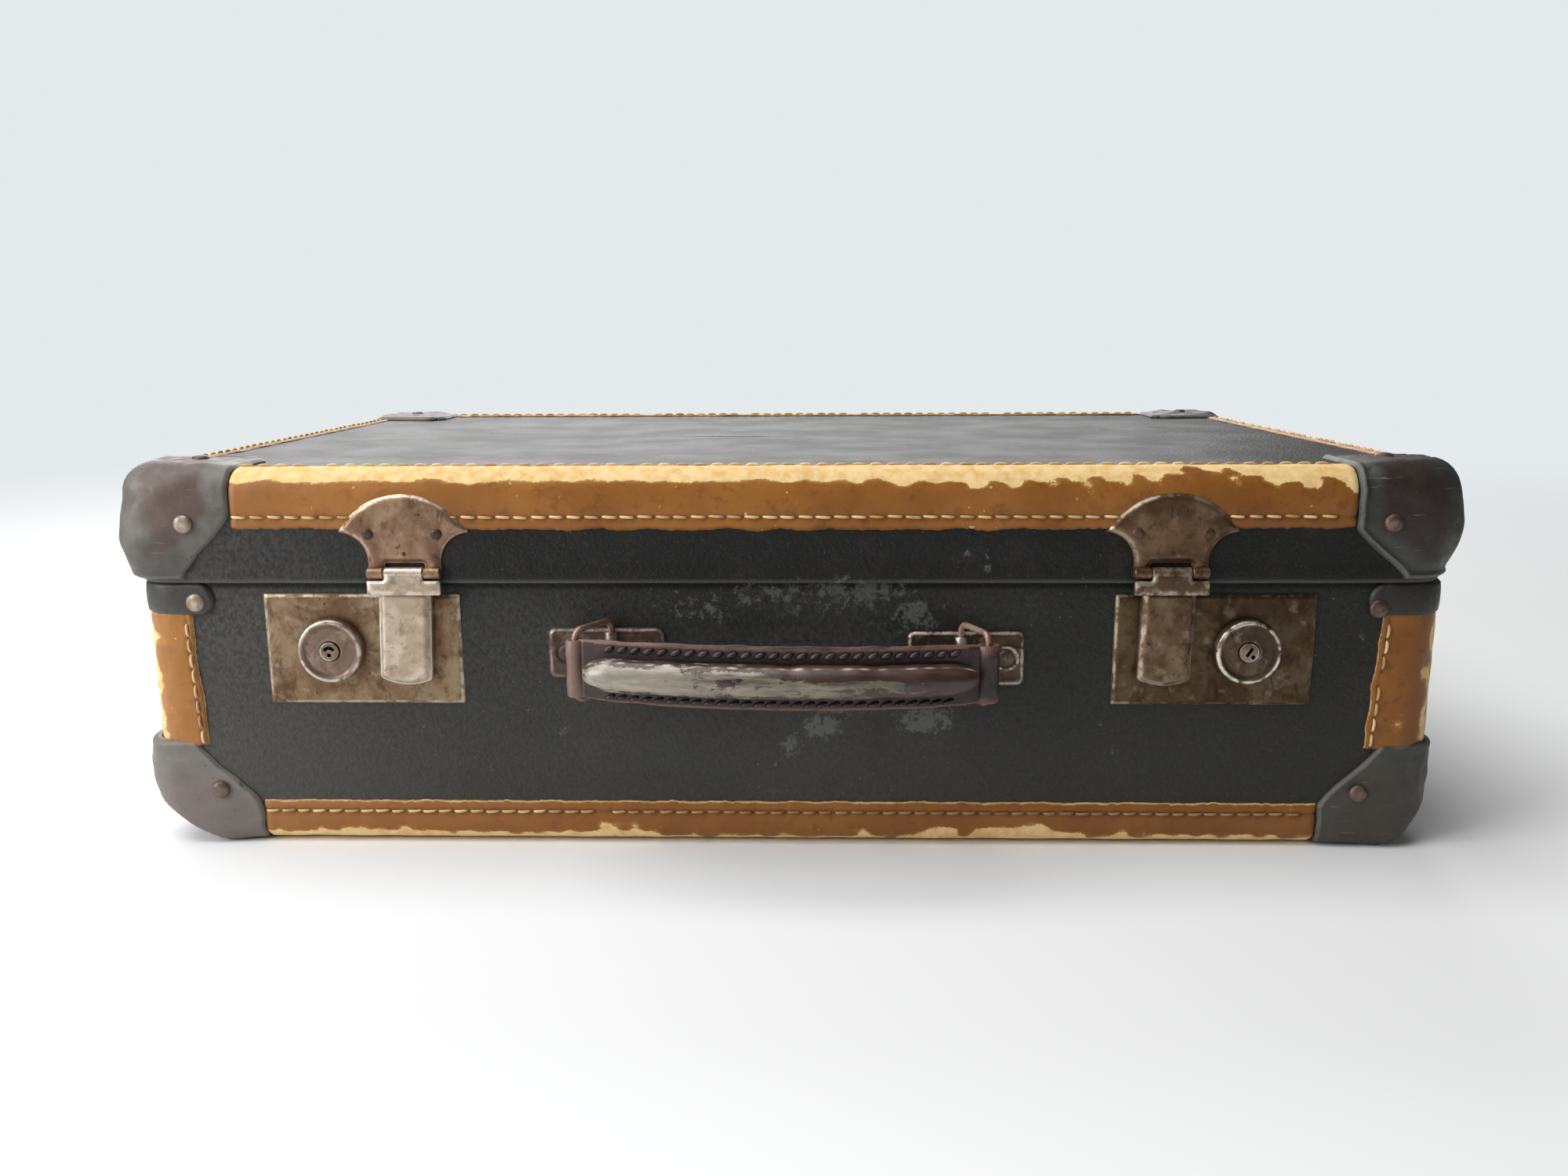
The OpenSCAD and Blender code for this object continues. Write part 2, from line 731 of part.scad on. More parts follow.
module hasp(side) {
  cross_top = -hasp_knuckle_r - cross_gap;
  tongue_front = hasp_front - tongue_step;
  tongue_back = lock_front + tongue_gap;
  catch_z = lock_z - hasp_z - catch_h / 2;
  color([0.58, 0.54, 0.47]) placed() translate([side * hasp_x, -hasp_y, hasp_z]) {
    difference() {
      union() {
        hasp_barrel(-hasp_knuckle_w, hasp_knuckle_w, hasp_knuckle_r);
        translate([-hasp_knuckle_w, -hasp_knuckle_r, cross_top - over])
          cube([2 * hasp_knuckle_w, hasp_skin, over - cross_top]);
      }
      hasp_barrel(-hasp_knuckle_w - over, hasp_knuckle_w + over, hasp_pin_r + run_fit);
    }
    translate([-fan_neck, -hasp_knuckle_r, -hasp_cross_l])
      cube([2 * fan_neck, hasp_skin, hasp_cross_l + cross_top]);
    difference() {
      translate([0, hasp_y - tongue_back, 0]) out_front()
        linear_extrude(tongue_front - tongue_back) tongue_outline(0);
      translate([0, hasp_y - tongue_back + over, 0]) out_front()
        linear_extrude(tongue_front - tongue_back + over - hasp_skin) tongue_outline(hasp_skin);
    }
    translate([-catch_w / 2, hasp_y - tongue_front + hasp_skin / 2, catch_z])
      cube([catch_w, tongue_front - hasp_skin / 2 - wall_y + catch_reach, catch_h]);
  }
}

// Hinges

// A barrel along x round the lid's hinge axis
module hinge_barrel(from, to, r) {
  translate([from, hinge_y, hinge_z]) rotate([0, 90, 0]) cylinder(r = r, h = to - from);
}

module hinge_lower(side) {
  x0 = side * hinge_x - hinge_w / 2;
  riser_y = hinge_y - knuckle_r;
  step_z = hinge_z - knuckle_r - 2 * leaf_t;
  color([0.5, 0.46, 0.4]) placed() difference() {
    union() {
      translate([x0, wall_y, hinge_z - lower_leaf_h])
        cube([hinge_w, leaf_t, lower_leaf_h - knuckle_r - leaf_t]);
      translate([x0, wall_y, step_z]) cube([hinge_w, riser_y + leaf_t - wall_y, leaf_t]);
      for (at = [0, 2 * knuckle_l]) {
        translate([x0 + at, riser_y, step_z])
          cube([knuckle_l - loose_fit / 2, leaf_t, hinge_z - step_z]);
        hinge_barrel(x0 + at + (at > 0 ? loose_fit / 2 : 0),
                     x0 + at + knuckle_l - (at > 0 ? 0 : loose_fit / 2), knuckle_r);
      }
    }
    translate([x0 + 2 * knuckle_l - over, riser_y - over, step_z + leaf_t])
      cube([over + loose_fit / 2, 2 * knuckle_r + 2 * over, 3 * knuckle_r]);
    hinge_barrel(x0 - over, x0 + hinge_w + over, pin_r + run_fit);
    lower_leaf_rivets() rivet_hole(leaf_t + over);
  }
}

module hinge_upper(side) {
  x0 = side * hinge_x - hinge_w / 2;
  clear_z = knuckle_r + loose_fit;
  color([0.5, 0.46, 0.4]) placed() difference() {
    union() {
      translate([x0, lid_wall_y, hinge_z + clear_z])
        cube([hinge_w, leaf_t, upper_leaf_h - clear_z]);
      translate([x0 + knuckle_l + loose_fit / 2, lid_wall_y, hinge_z + seam_gap])
        cube([knuckle_l - loose_fit, leaf_t, clear_z]);
      hinge_barrel(x0 + knuckle_l + loose_fit / 2, x0 + 2 * knuckle_l - loose_fit / 2, knuckle_r);
    }
    hinge_barrel(x0 - over, x0 + hinge_w + over, pin_r + run_fit);
    upper_leaf_rivets() rivet_hole(leaf_t + over);
  }
}

module hinge_pins() {
  color([0.6, 0.56, 0.5]) placed() for (side = [left, right])
    hinge_barrel(side * hinge_x - hinge_w / 2, side * hinge_x + hinge_w / 2, pin_r);
}

// Lid, with its closed end up

// Turns a box that opens upward into a lid that opens downward
module as_lid() {
  translate([0, 0, lid_top]) mirror([0, 0, 1]) children();
}

module lid_shell() {
  color([0.21, 0.21, 0.2]) placed() difference() {
    as_lid() open_box(lid_w, lid_d, lid_h, lid_corner_r, lid_edge_r, -board_t, 0);
    lid_wall_rivets() rivet_hole(cap_total + rivet_grip);
    lid_top_rivets() rivet_hole(cap_total + rivet_grip);
    upper_leaf_rivets() rivet_hole(leaf_t + rivet_grip);
    for (side = [left, right]) for (at = [-nail_x, nail_x])
      translate([side * hasp_x + at, -fan_face - fan_t, hasp_z + nail_up]) out_front()
        rivet_hole(fan_t + trim_t + rivet_grip);
  }
}

module lid_lining() {
  color([0.72, 0.62, 0.46]) placed() as_lid()
    open_box(lid_w, lid_d, lid_h - lining_short, lid_corner_r, lid_edge_r,
             -board_t - lining_t, -board_t);
}

module lid_binding(turn, half, length) {
  color([0.63, 0.42, 0.21]) placed() difference() {
    as_lid() rotate([0, 0, turn]) along_wall(half - lid_corner_r, length)
      binding_profile(lid_corner_r, lid_h, lid_edge_r, lid_binding_h);
    for (side = [left, right]) for (at = [-nail_x, nail_x])
      translate([side * hasp_x + at, -fan_face - fan_t, hasp_z + nail_up]) out_front()
        rivet_hole(fan_t + trim_t + rivet_grip);
  }
}

module lid_cap(side_x, side_y) {
  color([0.3, 0.29, 0.27]) placed() difference() {
    as_lid() at_corner(side_x, side_y, lid_wall_x, lid_wall_y)
      cap_shape(lid_corner_r, lid_cap_h, lid_edge_r);
    lid_wall_rivets() rivet_hole(cap_total + rivet_grip);
    lid_top_rivets() rivet_hole(cap_total + rivet_grip);
  }
}

module lid_rivets() {
  color([0.66, 0.62, 0.56]) placed() {
    lid_wall_rivets() rivet(rivet_r, rivet_h, cap_total + rivet_grip);
    lid_top_rivets() rivet(rivet_r, rivet_h, cap_total + rivet_grip);
    upper_leaf_rivets() rivet(leaf_rivet_r, leaf_rivet_h, leaf_t + rivet_grip);
  }
}

// Handle

// A rectangle with round corners, in the plane of the wall
module plate_outline(w, h, r) {
  square([w - 2 * r, h], center = true);
  square([w, h - 2 * r], center = true);
  for (x = [-1, 1]) for (y = [-1, 1]) translate([x * (w / 2 - r), y * (h / 2 - r)]) circle(r);
}

module at_plate_rivets() {
  for (side = [left, right]) for (step = [-1, 1])
    translate([side * handle_plate_x + step * plate_rivet_x, -wall_y - handle_plate_t, handle_z])
      out_front() children();
}

module handle_plate(side) {
  color([0.5, 0.4, 0.32]) placed() difference() {
    union() {
      translate([side * handle_plate_x, -wall_y, handle_z]) out_front()
        linear_extrude(handle_plate_t) plate_outline(handle_plate_w, handle_plate_h, plate_corner_r);
      translate([side * ring_x, -ring_y, handle_z - tunnel_h / 2])
        cylinder(r = tunnel_r, h = tunnel_h);
      translate([side * ring_x - tunnel_r, -ring_y, handle_z - tunnel_h / 2])
        cube([2 * tunnel_r, ring_y - wall_y, tunnel_h]);
    }
    translate([side * ring_x, -ring_y, handle_z - tunnel_h])
      cylinder(r = wire_r + run_fit, h = 2 * tunnel_h);
    translate([side * ring_x - tunnel_r - over, -wall_y, handle_z - tunnel_h])
      cube([2 * tunnel_r + 2 * over, tunnel_r, 2 * tunnel_h]);
    at_plate_rivets() rivet_hole(handle_plate_t + over);
  }
}

module handle_plate_rivets() {
  color([0.6, 0.52, 0.42]) placed() at_plate_rivets()
    rivet(plate_rivet_r, plate_rivet_h, handle_plate_t);
}

// A wire ring with round corners: its pivot leg on the z axis, its length along -y
module wire_ring() {
  leg = ring_h - 2 * ring_bend;
  arm = ring_l - 2 * ring_bend;
  for (at = [0, ring_l]) translate([0, -at, -leg / 2]) cylinder(r = wire_r, h = leg);
  for (side = [-1, 1]) translate([0, -ring_bend, side * ring_h / 2]) rotate([90, 0, 0])
    cylinder(r = wire_r, h = arm);
  for (flip = [0, 1]) mirror([0, 0, flip]) {
    translate([0, -ring_bend, leg / 2]) rotate([0, -90, 0]) rotate_extrude(angle = 90)
      translate([ring_bend, 0]) circle(wire_r);
    translate([0, -ring_l + ring_bend, leg / 2]) rotate([0, -90, 0]) rotate([0, 0, -90])
      rotate_extrude(angle = 90) translate([ring_bend, 0]) circle(wire_r);
  }
}

module handle_ring(side) {
  color([0.55, 0.42, 0.3]) placed() translate([side * ring_x, -ring_y, handle_z])
    rotate([0, 0, side * ring_lean]) wire_ring();
}

// Sweeps a section along the handle's bow, its x measured outward from the strap's middle
module along_bow(half_angle) {
  translate([0, -bow_y, handle_z]) rotate([0, 0, -90 - half_angle])
    rotate_extrude(angle = 2 * half_angle, $fn = 128) translate([bow_r, 0]) children();
}

// Places a piece at both ends of the bow, with its z axis pointing along the bow and away from it
module at_bow_ends(half_angle, out) {
  for (side = [left, right])
    translate([0, -bow_y, handle_z]) rotate([0, 0, side * half_angle])
      translate([0, -bow_r - out, 0]) rotate([0, 90 * side, 0]) children();
}

// Outline of the strap seen from above, with a loop round each ring's outer leg
module strap_outline() {
  difference() {
    union() {
      intersection() {
        translate([0, -bow_y]) difference() {
          circle(bow_r + strap_t / 2, $fn = 128);
          circle(bow_r - strap_t / 2, $fn = 128);
        }
        translate([-bar_x, -bar_y - 2 * handle_bow]) square([2 * bar_x, 2 * handle_bow + loop_r]);
      }
      for (side = [left, right]) translate([side * bar_x, -bar_y]) circle(loop_r);
    }
    translate([-bar_x, -bar_y]) circle(wire_r + loose_fit);
    translate([bar_x, -bar_y]) circle(wire_r + right_loop_gap);
  }
}

module handle_strap() {
  color([0.28, 0.18, 0.12]) placed() translate([0, 0, handle_z])
    linear_extrude(strap_h, center = true) strap_outline();
}

// Half plane in front of a line that lies at x = -back
module in_front_of(back) {
  translate([-back, -2 * roll_r]) square(4 * roll_r);
}

// Sweeps a section of the roll along the bow
module roll_sweep(half_angle, back) {
  along_bow(half_angle) translate([roll_middle, 0]) intersection() {
    children();
    in_front_of(back);
  }
}

// Solid round ends of the roll
module roll_ends(back) {
  at_bow_ends(roll_angle, roll_middle) difference() {
    rotate_extrude() intersection() {
      circle(roll_r);
      square(roll_r);
    }
    translate([-2 * roll_r, back, -2 * roll_r]) cube(4 * roll_r);
  }
}

module handle_core() {
  color([0.66, 0.58, 0.44]) placed()
    roll_sweep(core_angle, roll_out - run_fit) circle(roll_r - cover_t - run_fit);
}

module handle_cover() {
  color([0.45, 0.42, 0.36]) placed() {
    roll_sweep(roll_angle, roll_out + facing_t / 3) difference() {
      circle(roll_r);
      circle(roll_r - cover_t);
    }
    roll_ends(roll_out + facing_t / 2);
    along_bow(facing_angle) translate([strap_t / 2, -strap_h / 2]) square([facing_t, strap_h]);
  }
}

base_tray();
base_lining();
inner_lip();
base_binding(-90, wall_y, binding_x);  // base_binding_front
base_binding(90, wall_y, binding_x);  // base_binding_back
base_binding(180, wall_x, binding_y);  // base_binding_left
base_binding(0, wall_x, binding_y);  // base_binding_right
corner_binding(left, front);  // corner_binding_front_left
corner_binding(right, front);  // corner_binding_front_right
corner_binding(left, back);  // corner_binding_back_left
corner_binding(right, back);  // corner_binding_back_right
base_cap(left, front);  // base_cap_front_left
base_cap(right, front);  // base_cap_front_right
base_cap(left, back);  // base_cap_back_left
base_cap(right, back);  // base_cap_back_right
mouth_bands();
base_rivets();
lock_plate(left);  // lock_plate_left
lock_plate(right);  // lock_plate_right
lock_case(left);  // lock_case_left
lock_case(right);  // lock_case_right
lock_spring(left);  // lock_spring_left
lock_spring(right);  // lock_spring_right
lock_knob(left);  // lock_knob_left
lock_knob(right);  // lock_knob_right
lock_bolt(left);  // lock_bolt_left
lock_bolt(right);  // lock_bolt_right
key_barrel(left);  // key_barrel_left
key_barrel(right);  // key_barrel_right
handle_plate(left);  // handle_plate_left
handle_plate(right);  // handle_plate_right
handle_plate_rivets();
handle_ring(left);  // handle_ring_left
handle_ring(right);  // handle_ring_right
handle_strap();
handle_core();
handle_cover();
hinge_lower(left);  // hinge_lower_left
hinge_lower(right);  // hinge_lower_right
hinge_pins();
hinge_upper(left);  // hinge_upper_left
hinge_upper(right);  // hinge_upper_right
lid_shell();
lid_lining();
lid_binding(-90, lid_wall_y, lid_binding_x);  // lid_binding_front
lid_binding(90, lid_wall_y, lid_binding_x);  // lid_binding_back
lid_binding(180, lid_wall_x, lid_binding_y);  // lid_binding_left
lid_binding(0, lid_wall_x, lid_binding_y);  // lid_binding_right
lid_cap(left, front);  // lid_cap_front_left
lid_cap(right, front);  // lid_cap_front_right
lid_cap(left, back);  // lid_cap_back_left
lid_cap(right, back);  // lid_cap_back_right
lid_rivets();
hasp_plate(left);  // hasp_plate_left
hasp_plate(right);  // hasp_plate_right
hasp_plate_nails();
hasp_pins();
hasp(left);  // hasp_left
hasp(right);  // hasp_right
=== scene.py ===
"""Vintage cardboard suitcase, dressed over its CAD frame. Lengths are in millimetres in this script
and in metres in Blender. Points are given in the case's own frame: x and y from the middle of the
case, z from the ground. mesh_object() moves them to the row frame."""

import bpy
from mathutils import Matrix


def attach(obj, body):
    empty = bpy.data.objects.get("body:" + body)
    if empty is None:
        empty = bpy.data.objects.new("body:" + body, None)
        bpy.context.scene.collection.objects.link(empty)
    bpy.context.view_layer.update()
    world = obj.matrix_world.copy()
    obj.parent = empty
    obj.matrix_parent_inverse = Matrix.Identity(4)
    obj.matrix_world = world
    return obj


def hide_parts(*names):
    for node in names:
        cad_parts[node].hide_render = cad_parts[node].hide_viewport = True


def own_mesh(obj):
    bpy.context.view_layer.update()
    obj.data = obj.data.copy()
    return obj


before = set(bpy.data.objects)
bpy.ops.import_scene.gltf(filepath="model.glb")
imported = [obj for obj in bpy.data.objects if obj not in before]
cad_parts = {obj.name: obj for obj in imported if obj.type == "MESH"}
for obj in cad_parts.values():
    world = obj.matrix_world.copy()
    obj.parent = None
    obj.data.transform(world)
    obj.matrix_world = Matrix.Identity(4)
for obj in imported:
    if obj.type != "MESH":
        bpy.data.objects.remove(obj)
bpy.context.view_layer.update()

import math

import bmesh
import bpy
import numpy as np
from mathutils import Matrix, Vector
from mathutils.geometry import delaunay_2d_cdt

PI = math.pi
CASE_Y = 16.16           # the case's middle lies this far behind the origin

# sizes, as in the CAD source
BASE_W, BASE_D, BASE_R, BASE_EDGE, BASE_Z, BASE_H = 486.0, 310.0, 14.0, 5.0, 2.0, 100.6
LID_W, LID_D, LID_R, LID_EDGE, LID_TOP, LID_H = 491.0, 315.0, 16.5, 9.0, 144.3, 41.4
WALL_Y, LID_Y, RIM_Z, HINGE_Z = BASE_D / 2, LID_D / 2, 102.6, 102.75
BASE_CAP_H, LID_CAP_H, BAND_Z = 38.8, 40.2, 88.0
CUT_SUM = 2 * 43.0 - 7 * math.sqrt(2)        # the two insets along a cap's cut corner add up to this
LOCK_X, LOCK_Z, PLATE_W, PLATE_H = 158.3, 77.3, 73.8, 42.3
KNOB_X, KNOB_Y, KNOB_TRAVEL = 170.0, 156.5, 7.0
HASP_X, HASP_Y, HASP_Z, FAN_Y = 140.2, 160.0, 107.0, 158.5
RING_X, RING_Y, HANDLE_Z = 65.0, 156.6, 74.2
BAR_X, BAR_Y, BOW_R, BOW_Y = 74.08, 174.42, 293.58, 109.66
ASIDE = 1.3              # the handle hangs this far to the left of the middle

LEFT_RIGHT = ((-1, "left"), (1, "right"))
CORNERS = [(-1, -1), (1, -1), (-1, 1), (1, 1)]


def corner_name(sx, sy):
    return ("front" if sy < 0 else "back") + "_" + ("left" if sx < 0 else "right")


# small maths
def srgb(*rgb):
    def linear(c):
        c /= 255.0
        return c / 12.92 if c <= 0.04045 else ((c + 0.055) / 1.055) ** 2.4
    return (*(linear(c) for c in rgb), 1.0)


def scaled(rgb, factor):
    return (*(c * factor for c in srgb(*rgb)[:3]), 1.0)


def smooth(x):
    x = np.clip(x, 0.0, 1.0)
    return x * x * (3 - 2 * x)


def peak(x, middle, width):
    """A bell of height 1 round the middle."""
    return np.exp(-((x - middle) / width) ** 2)


def wobble(t, seed, size, waves=7):
    """Smooth noise of about -1 to 1 along t, with features of a given size."""
    g = np.random.default_rng(seed)
    t = np.asarray(t, float)
    out = np.zeros_like(t)
    for _ in range(waves):
        f = (0.5 + 1.7 * g.random()) / size
        out += np.sin(2 * PI * f * t + 6.28 * g.random()) * (0.4 + 0.6 * g.random())
    return out / math.sqrt(waves) * 1.1


def wobble2(x, y, seed, size, waves=9):
    """The same over a plane."""
    g = np.random.default_rng(seed)
    out = np.zeros(np.broadcast(x, y).shape)
    for _ in range(waves):
        a = 6.28 * g.random()
        f = (0.5 + 1.5 * g.random()) / size
        out = out + np.sin(2 * PI * f * (x * math.cos(a) + y * math.sin(a)) + 6.28 * g.random())
    return out / math.sqrt(waves) * 0.9


# shader nodes
class Field:
    """One output of a shader node. Sums and products of fields are nodes too."""

    def __init__(self, tree, socket):
        self.tree, self.socket = tree, socket

    def combine(self, operation, other=None):
        return field(self.tree, "Math", {0: self, 1: other}, operation=operation)

    def __add__(self, other):
        return self.combine("ADD", other)

    def __sub__(self, other):
        return self.combine("SUBTRACT", other)

    def __mul__(self, other):
        return self.combine("MULTIPLY", other)

    def span(self, a, b, lo=0.0, hi=1.0):
        """The value from a..b to lo..hi, clamped and eased at both ends."""
        return field(self.tree, "MapRange", {"Value": self, "From Min": a, "From Max": b, "To Min": lo,
                                             "To Max": hi}, interpolation_type="SMOOTHSTEP")


def field(tree, kind, inputs=(), out=0, **settings):
    """Adds a shader node. Each input is a constant, a field or None. Returns one output as a field."""
    node = tree.nodes.new("ShaderNode" + kind)
    for key, value in settings.items():
        setattr(node, key, value)
    for key, value in dict(inputs).items():
        if isinstance(value, Field):
            tree.links.new(value.socket, node.inputs[key])
        elif value is not None:
            node.inputs[key].default_value = value
    return Field(tree, node.outputs[out] if len(node.outputs) else None)


class Surface:
    """Builds one procedural material: a first tone with tints over it."""

    def __init__(self, name, first):
        self.mat = bpy.data.materials.new(name)
        self.mat.use_nodes = True
        self.tree = self.mat.node_tree
        self.tree.nodes.clear()
        self.pos = self.field("TexCoord", out="Object")
        self.color = srgb(*first)

    def field(self, kind, inputs=(), out=0, **settings):
        return field(self.tree, kind, inputs, out, **settings)

    def stretch(self, x=1.0, y=1.0, z=1.0, turn=(0, 0, 0)):
        return self.field("Mapping", {"Vector": self.pos, "Scale": (x, y, z), "Rotation": turn})

    def noise(self, size_mm, detail=3.0, rough=0.55, vec=None, distort=0.0):
        return self.field("TexNoise", {"Vector": vec or self.pos, "Scale": 1000.0 / size_mm, "Detail": detail,
                                       "Roughness": rough, "Distortion": distort}, "Fac")

    def attr(self, name):
        return self.field("Attribute", out="Fac", attribute_name=name)

    def axis(self, i):
        return self.field("SeparateXYZ", {0: self.pos}, i)

    def blob(self, x, y, z, rx, ry, rz):
        """1 at a place in the case's frame, 0 outside an ellipsoid round it."""
        place = {"Vector": self.pos, "Location": (x / 1000, (y + CASE_Y) / 1000, z / 1000),
                 "Scale": (rx / 1000, ry / 1000, rz / 1000)}
        local = self.field("Mapping", place, vector_type="TEXTURE")
        return self.field("VectorMath", {0: local}, "Value", operation="LENGTH").span(1.0, 0.0)

    def mix(self, mask, a, b):
        return self.field("Mix", {"Factor": mask, 6: a, 7: b}, 2, data_type="RGBA", clamp_factor=True)

    def tint(self, tone, mask, start=None, end=None, power=1.0):
        """Mixes a tone over the colour by a mask, or where a value goes from start to end."""
        if start is not None:
            mask = mask.span(start, end, 0.0, power)
        if isinstance(tone, tuple) and len(tone) == 3:
            tone = srgb(*tone)
        self.color = self.mix(mask, self.color, tone)

    def bump(self, height, depth_mm, normal=None):
        return self.field("Bump", {"Strength": 1.0, "Distance": depth_mm / 1000, "Height": height,
                                   "Normal": normal})

    def done(self, rough, normal, metal=0.0, specular=0.5):
        bsdf = self.field("BsdfPrincipled", {"Base Color": self.color, "Roughness": rough, "Normal": normal,
                                             "Metallic": metal, "Specular IOR Level": specular})
        self.field("OutputMaterial", {0: bsdf})
        return self.mat


# scuffs where the handle and the hand rub the front: x, z, half width, half height, power
SCUFFS = ((5, 96, 60, 10, 0.7), (25, 99, 30, 8, 0.9), (-30, 93, 22, 8, 0.7), (47, 90, 12, 10, 0.9),
          (30, 97, 10, 6, 0.8), (14, 47, 9, 8, 1.2), (2, 40, 5, 9, 0.9), (52, 50, 13, 8, 1.2),
          (20, 54, 9, 4, 1.0), (-44, 55, 8, 4, 0.5), (-88, 46, 7, 4, 0.6), (120, 48, 4, 7, 0.4),
          (-6, 30, 5, 4, 0.5), (92, 92, 8, 8, 0.4), (66, 113, 7, 6, 0.5), (74, 110, 3, 7, 0.6),
          (213, 84, 3, 5, 0.6), (122, 38, 4, 4, 0.5))


def leatherette():
    n = Surface("black_leatherette", (45, 45, 42))
    x, height = n.axis(0), n.axis(2)
    pebble = n.noise(2.2, 3, 0.62)
    low = height.span(0.085, 0.03)
    n.tint((59, 58, 54), n.noise(60, 3, 0.5), 0.35, 0.65)
    # painted shade: the lid's cloth darker than the base's
    n.tint((18, 18, 16), height, 0.099, 0.106, 0.8)
    # painted floor-bounce light: paler near the floor; the same mask also weakens the dark pebble grain low
    # down
    n.tint((68, 67, 62), low * 0.55)
    # painted shade: darker to the right
    n.tint((20, 20, 18), x, -0.02, 0.2, 0.4)
    n.tint((60, 48, 45), n.noise(9, 4, 0.6), 0.5, 0.72, 0.4)
    # painted light: paler to the left
    n.tint((92, 90, 85), x, -0.1, -0.24, 0.45)
    n.tint((27, 28, 27), pebble.span(0.35, 0.68) * (low * -0.38 + 0.6))
    n.tint((92, 92, 88), n.noise(0.6, 2, 0.6), 0.62, 0.76, 0.5)
    # the lid's turned edge gets a painted highlight, and a painted shadow lies on the base under it
    n.tint((92, 90, 84), height.span(0.1046, 0.1036) * height.span(0.10272, 0.10276, 0, 0.5))
    n.tint((5, 5, 5), height.span(0.0992, 0.1016) * height.span(0.10276, 0.10272, 0, 0.9))
    scuff = None
    for sx, sz, rx, rz, power in SCUFFS:
        spot = n.blob(sx, -WALL_Y, sz, rx * 1.5, 30, rz * 1.5) * power
        scuff = spot if scuff is None else scuff.combine("MAXIMUM", spot)
    broken = n.noise(3.6, 7, 0.76, distort=0.25) + (scuff * 0.26 + n.noise(1.2, 3, 0.7) * 0.16)
    worn = broken.span(0.735, 0.83) * scuff.span(0.02, 0.3)
    scratch = n.noise(2.4, 3, 0.6, n.stretch(0.12, 0.12, 1.0, (0.0, 0.55, 0.0))).span(0.70, 0.76)
    specks = n.noise(1.7, 2, 0.5).span(0.72, 0.78) * n.noise(38, 2, 0.5).span(0.40, 0.62)
    n.tint((112, 114, 107), worn * 0.55)
    n.tint((140, 140, 136), specks * 0.4)
    n.tint((120, 118, 114), scratch * n.noise(40, 2, 0.5).span(0.52, 0.66) * 0.35)
    grain = n.field("TexVoronoi", {"Vector": n.pos, "Scale": 1000.0 / 1.5}, "Distance")
    waves = n.bump(n.noise(95, 2, 0.5, n.stretch(0.45, 1.6, 1.0)), 0.08)
    rough = n.noise(30, 4, 0.6).span(0.3, 0.7, 0.46, 0.54) + worn * 0.15 + x.span(-0.12, 0.1, 0, 0.06)
    return n.done(rough, n.bump(grain * 0.5 + pebble * 0.7, 0.3, waves), specular=0.24)


def binding_leather():
    """Vertex attributes: wear (pale, rubbed through) and grime (dark near holes and borders: dirt, and
    painted shade in the stitch holes and along the stitch lines).
    """
    n = Surface("tan_binding", (136, 84, 32))
    x, big, mid, fine = n.axis(0), n.noise(35, 4, 0.6), n.noise(5, 4, 0.65), n.noise(0.9, 3, 0.6)
    n.tint((158, 103, 43), big, 0.3, 0.7)
    n.tint((108, 62, 24), mid, 0.5, 0.72, 0.55)
    n.tint((132, 80, 44), n.axis(2), 0.03, 0.014, 0.3)
    # painted light falloff: paler to the left, darker to the right
    n.tint((194, 142, 86), x.span(-0.26, -0.05, 1.0, 0.0) * 0.24)
    n.tint((92, 50, 14), x, 0.02, 0.25, 0.26)
    edge = n.noise(2.8, 7, 0.78, n.stretch(0.6, 0.6, 1.0), 0.3)
    wide = n.noise(11, 3, 0.6, n.stretch(0.7, 0.7, 1.0))
    wear = n.attr("wear") + (edge - 0.5) * 0.75 + (wide - 0.5) * 0.25
    dots = n.noise(2.6, 2, 0.5).span(0.71, 0.74) * big.span(0.45, 0.62)
    rubbed = wear.span(0.46, 0.55).combine("MAXIMUM", dots * 0.8)
    n.tint((196, 142, 72), wear.span(0.3, 0.5) * 0.5)
    n.tint(n.mix(mid.span(0.35, 0.7), srgb(240, 209, 152), srgb(222, 181, 114)), rubbed)
    # dirt, and painted shade in the stitch holes and grooves
    n.tint((66, 38, 18), n.attr("grime") * fine.span(0.2, 0.7, 0.6, 1.0))
    height = fine * 0.3 + (mid * 0.4 - rubbed * 0.45)
    return n.done(rubbed.span(0, 1, 0.42, 0.8), n.bump(height, 0.22), specular=0.3)


def pressed_fibre(name, base, brown, low=None, under=None, dim=0.0):
    """Dark caps. Attributes: rim (pale rubbed border) and mid (1 in the middle of a face).
    low: tone near the floor, as painted floor-bounce light. under: tone toward the lid's lower edge. dim:
    painted shade, darker to the right."""
    n = Surface(name, base)
    z, big, mid, fine = n.axis(2), n.noise(16, 4, 0.6), n.noise(4, 4, 0.6), n.noise(0.6, 3, 0.6)
    n.tint(scaled(base, 1.25), big, 0.3, 0.7)
    n.tint(scaled(base, 0.4), n.noise(24, 4, 0.65), 0.45, 0.68, 0.6)
    n.tint(brown, n.attr("mid") + (big - 0.5), 0.35, 0.85, 0.8)
    if low:
        # painted floor-bounce light near the floor
        n.tint(low, z, 0.055, 0.025, 0.6)
    if under:
        n.tint(under, z.span(0.128, 0.108) * z.span(0.1, 0.1025) * 0.6)
    # painted shade: darker to the right by dim
    n.tint((16, 14, 12), n.axis(0), -0.1, 0.24, dim)
    n.tint((128, 127, 120), n.attr("rim") + (mid - 0.5) * 0.9, 0.45, 0.95, 0.34)
    n.tint((30, 26, 24), n.noise(2.4, 2, 0.5), 0.68, 0.74, 0.5)
    n.tint((150, 148, 140), n.noise(2.5, 3, 0.6, n.stretch(0.25, 0.25, 3.0, (0.3, 0.2, 0))), 0.66, 0.74, 0.35)
    return n.done(mid.span(0.3, 0.7, 0.42, 0.6), n.bump(fine * 0.35 + mid * 0.65, 0.25))


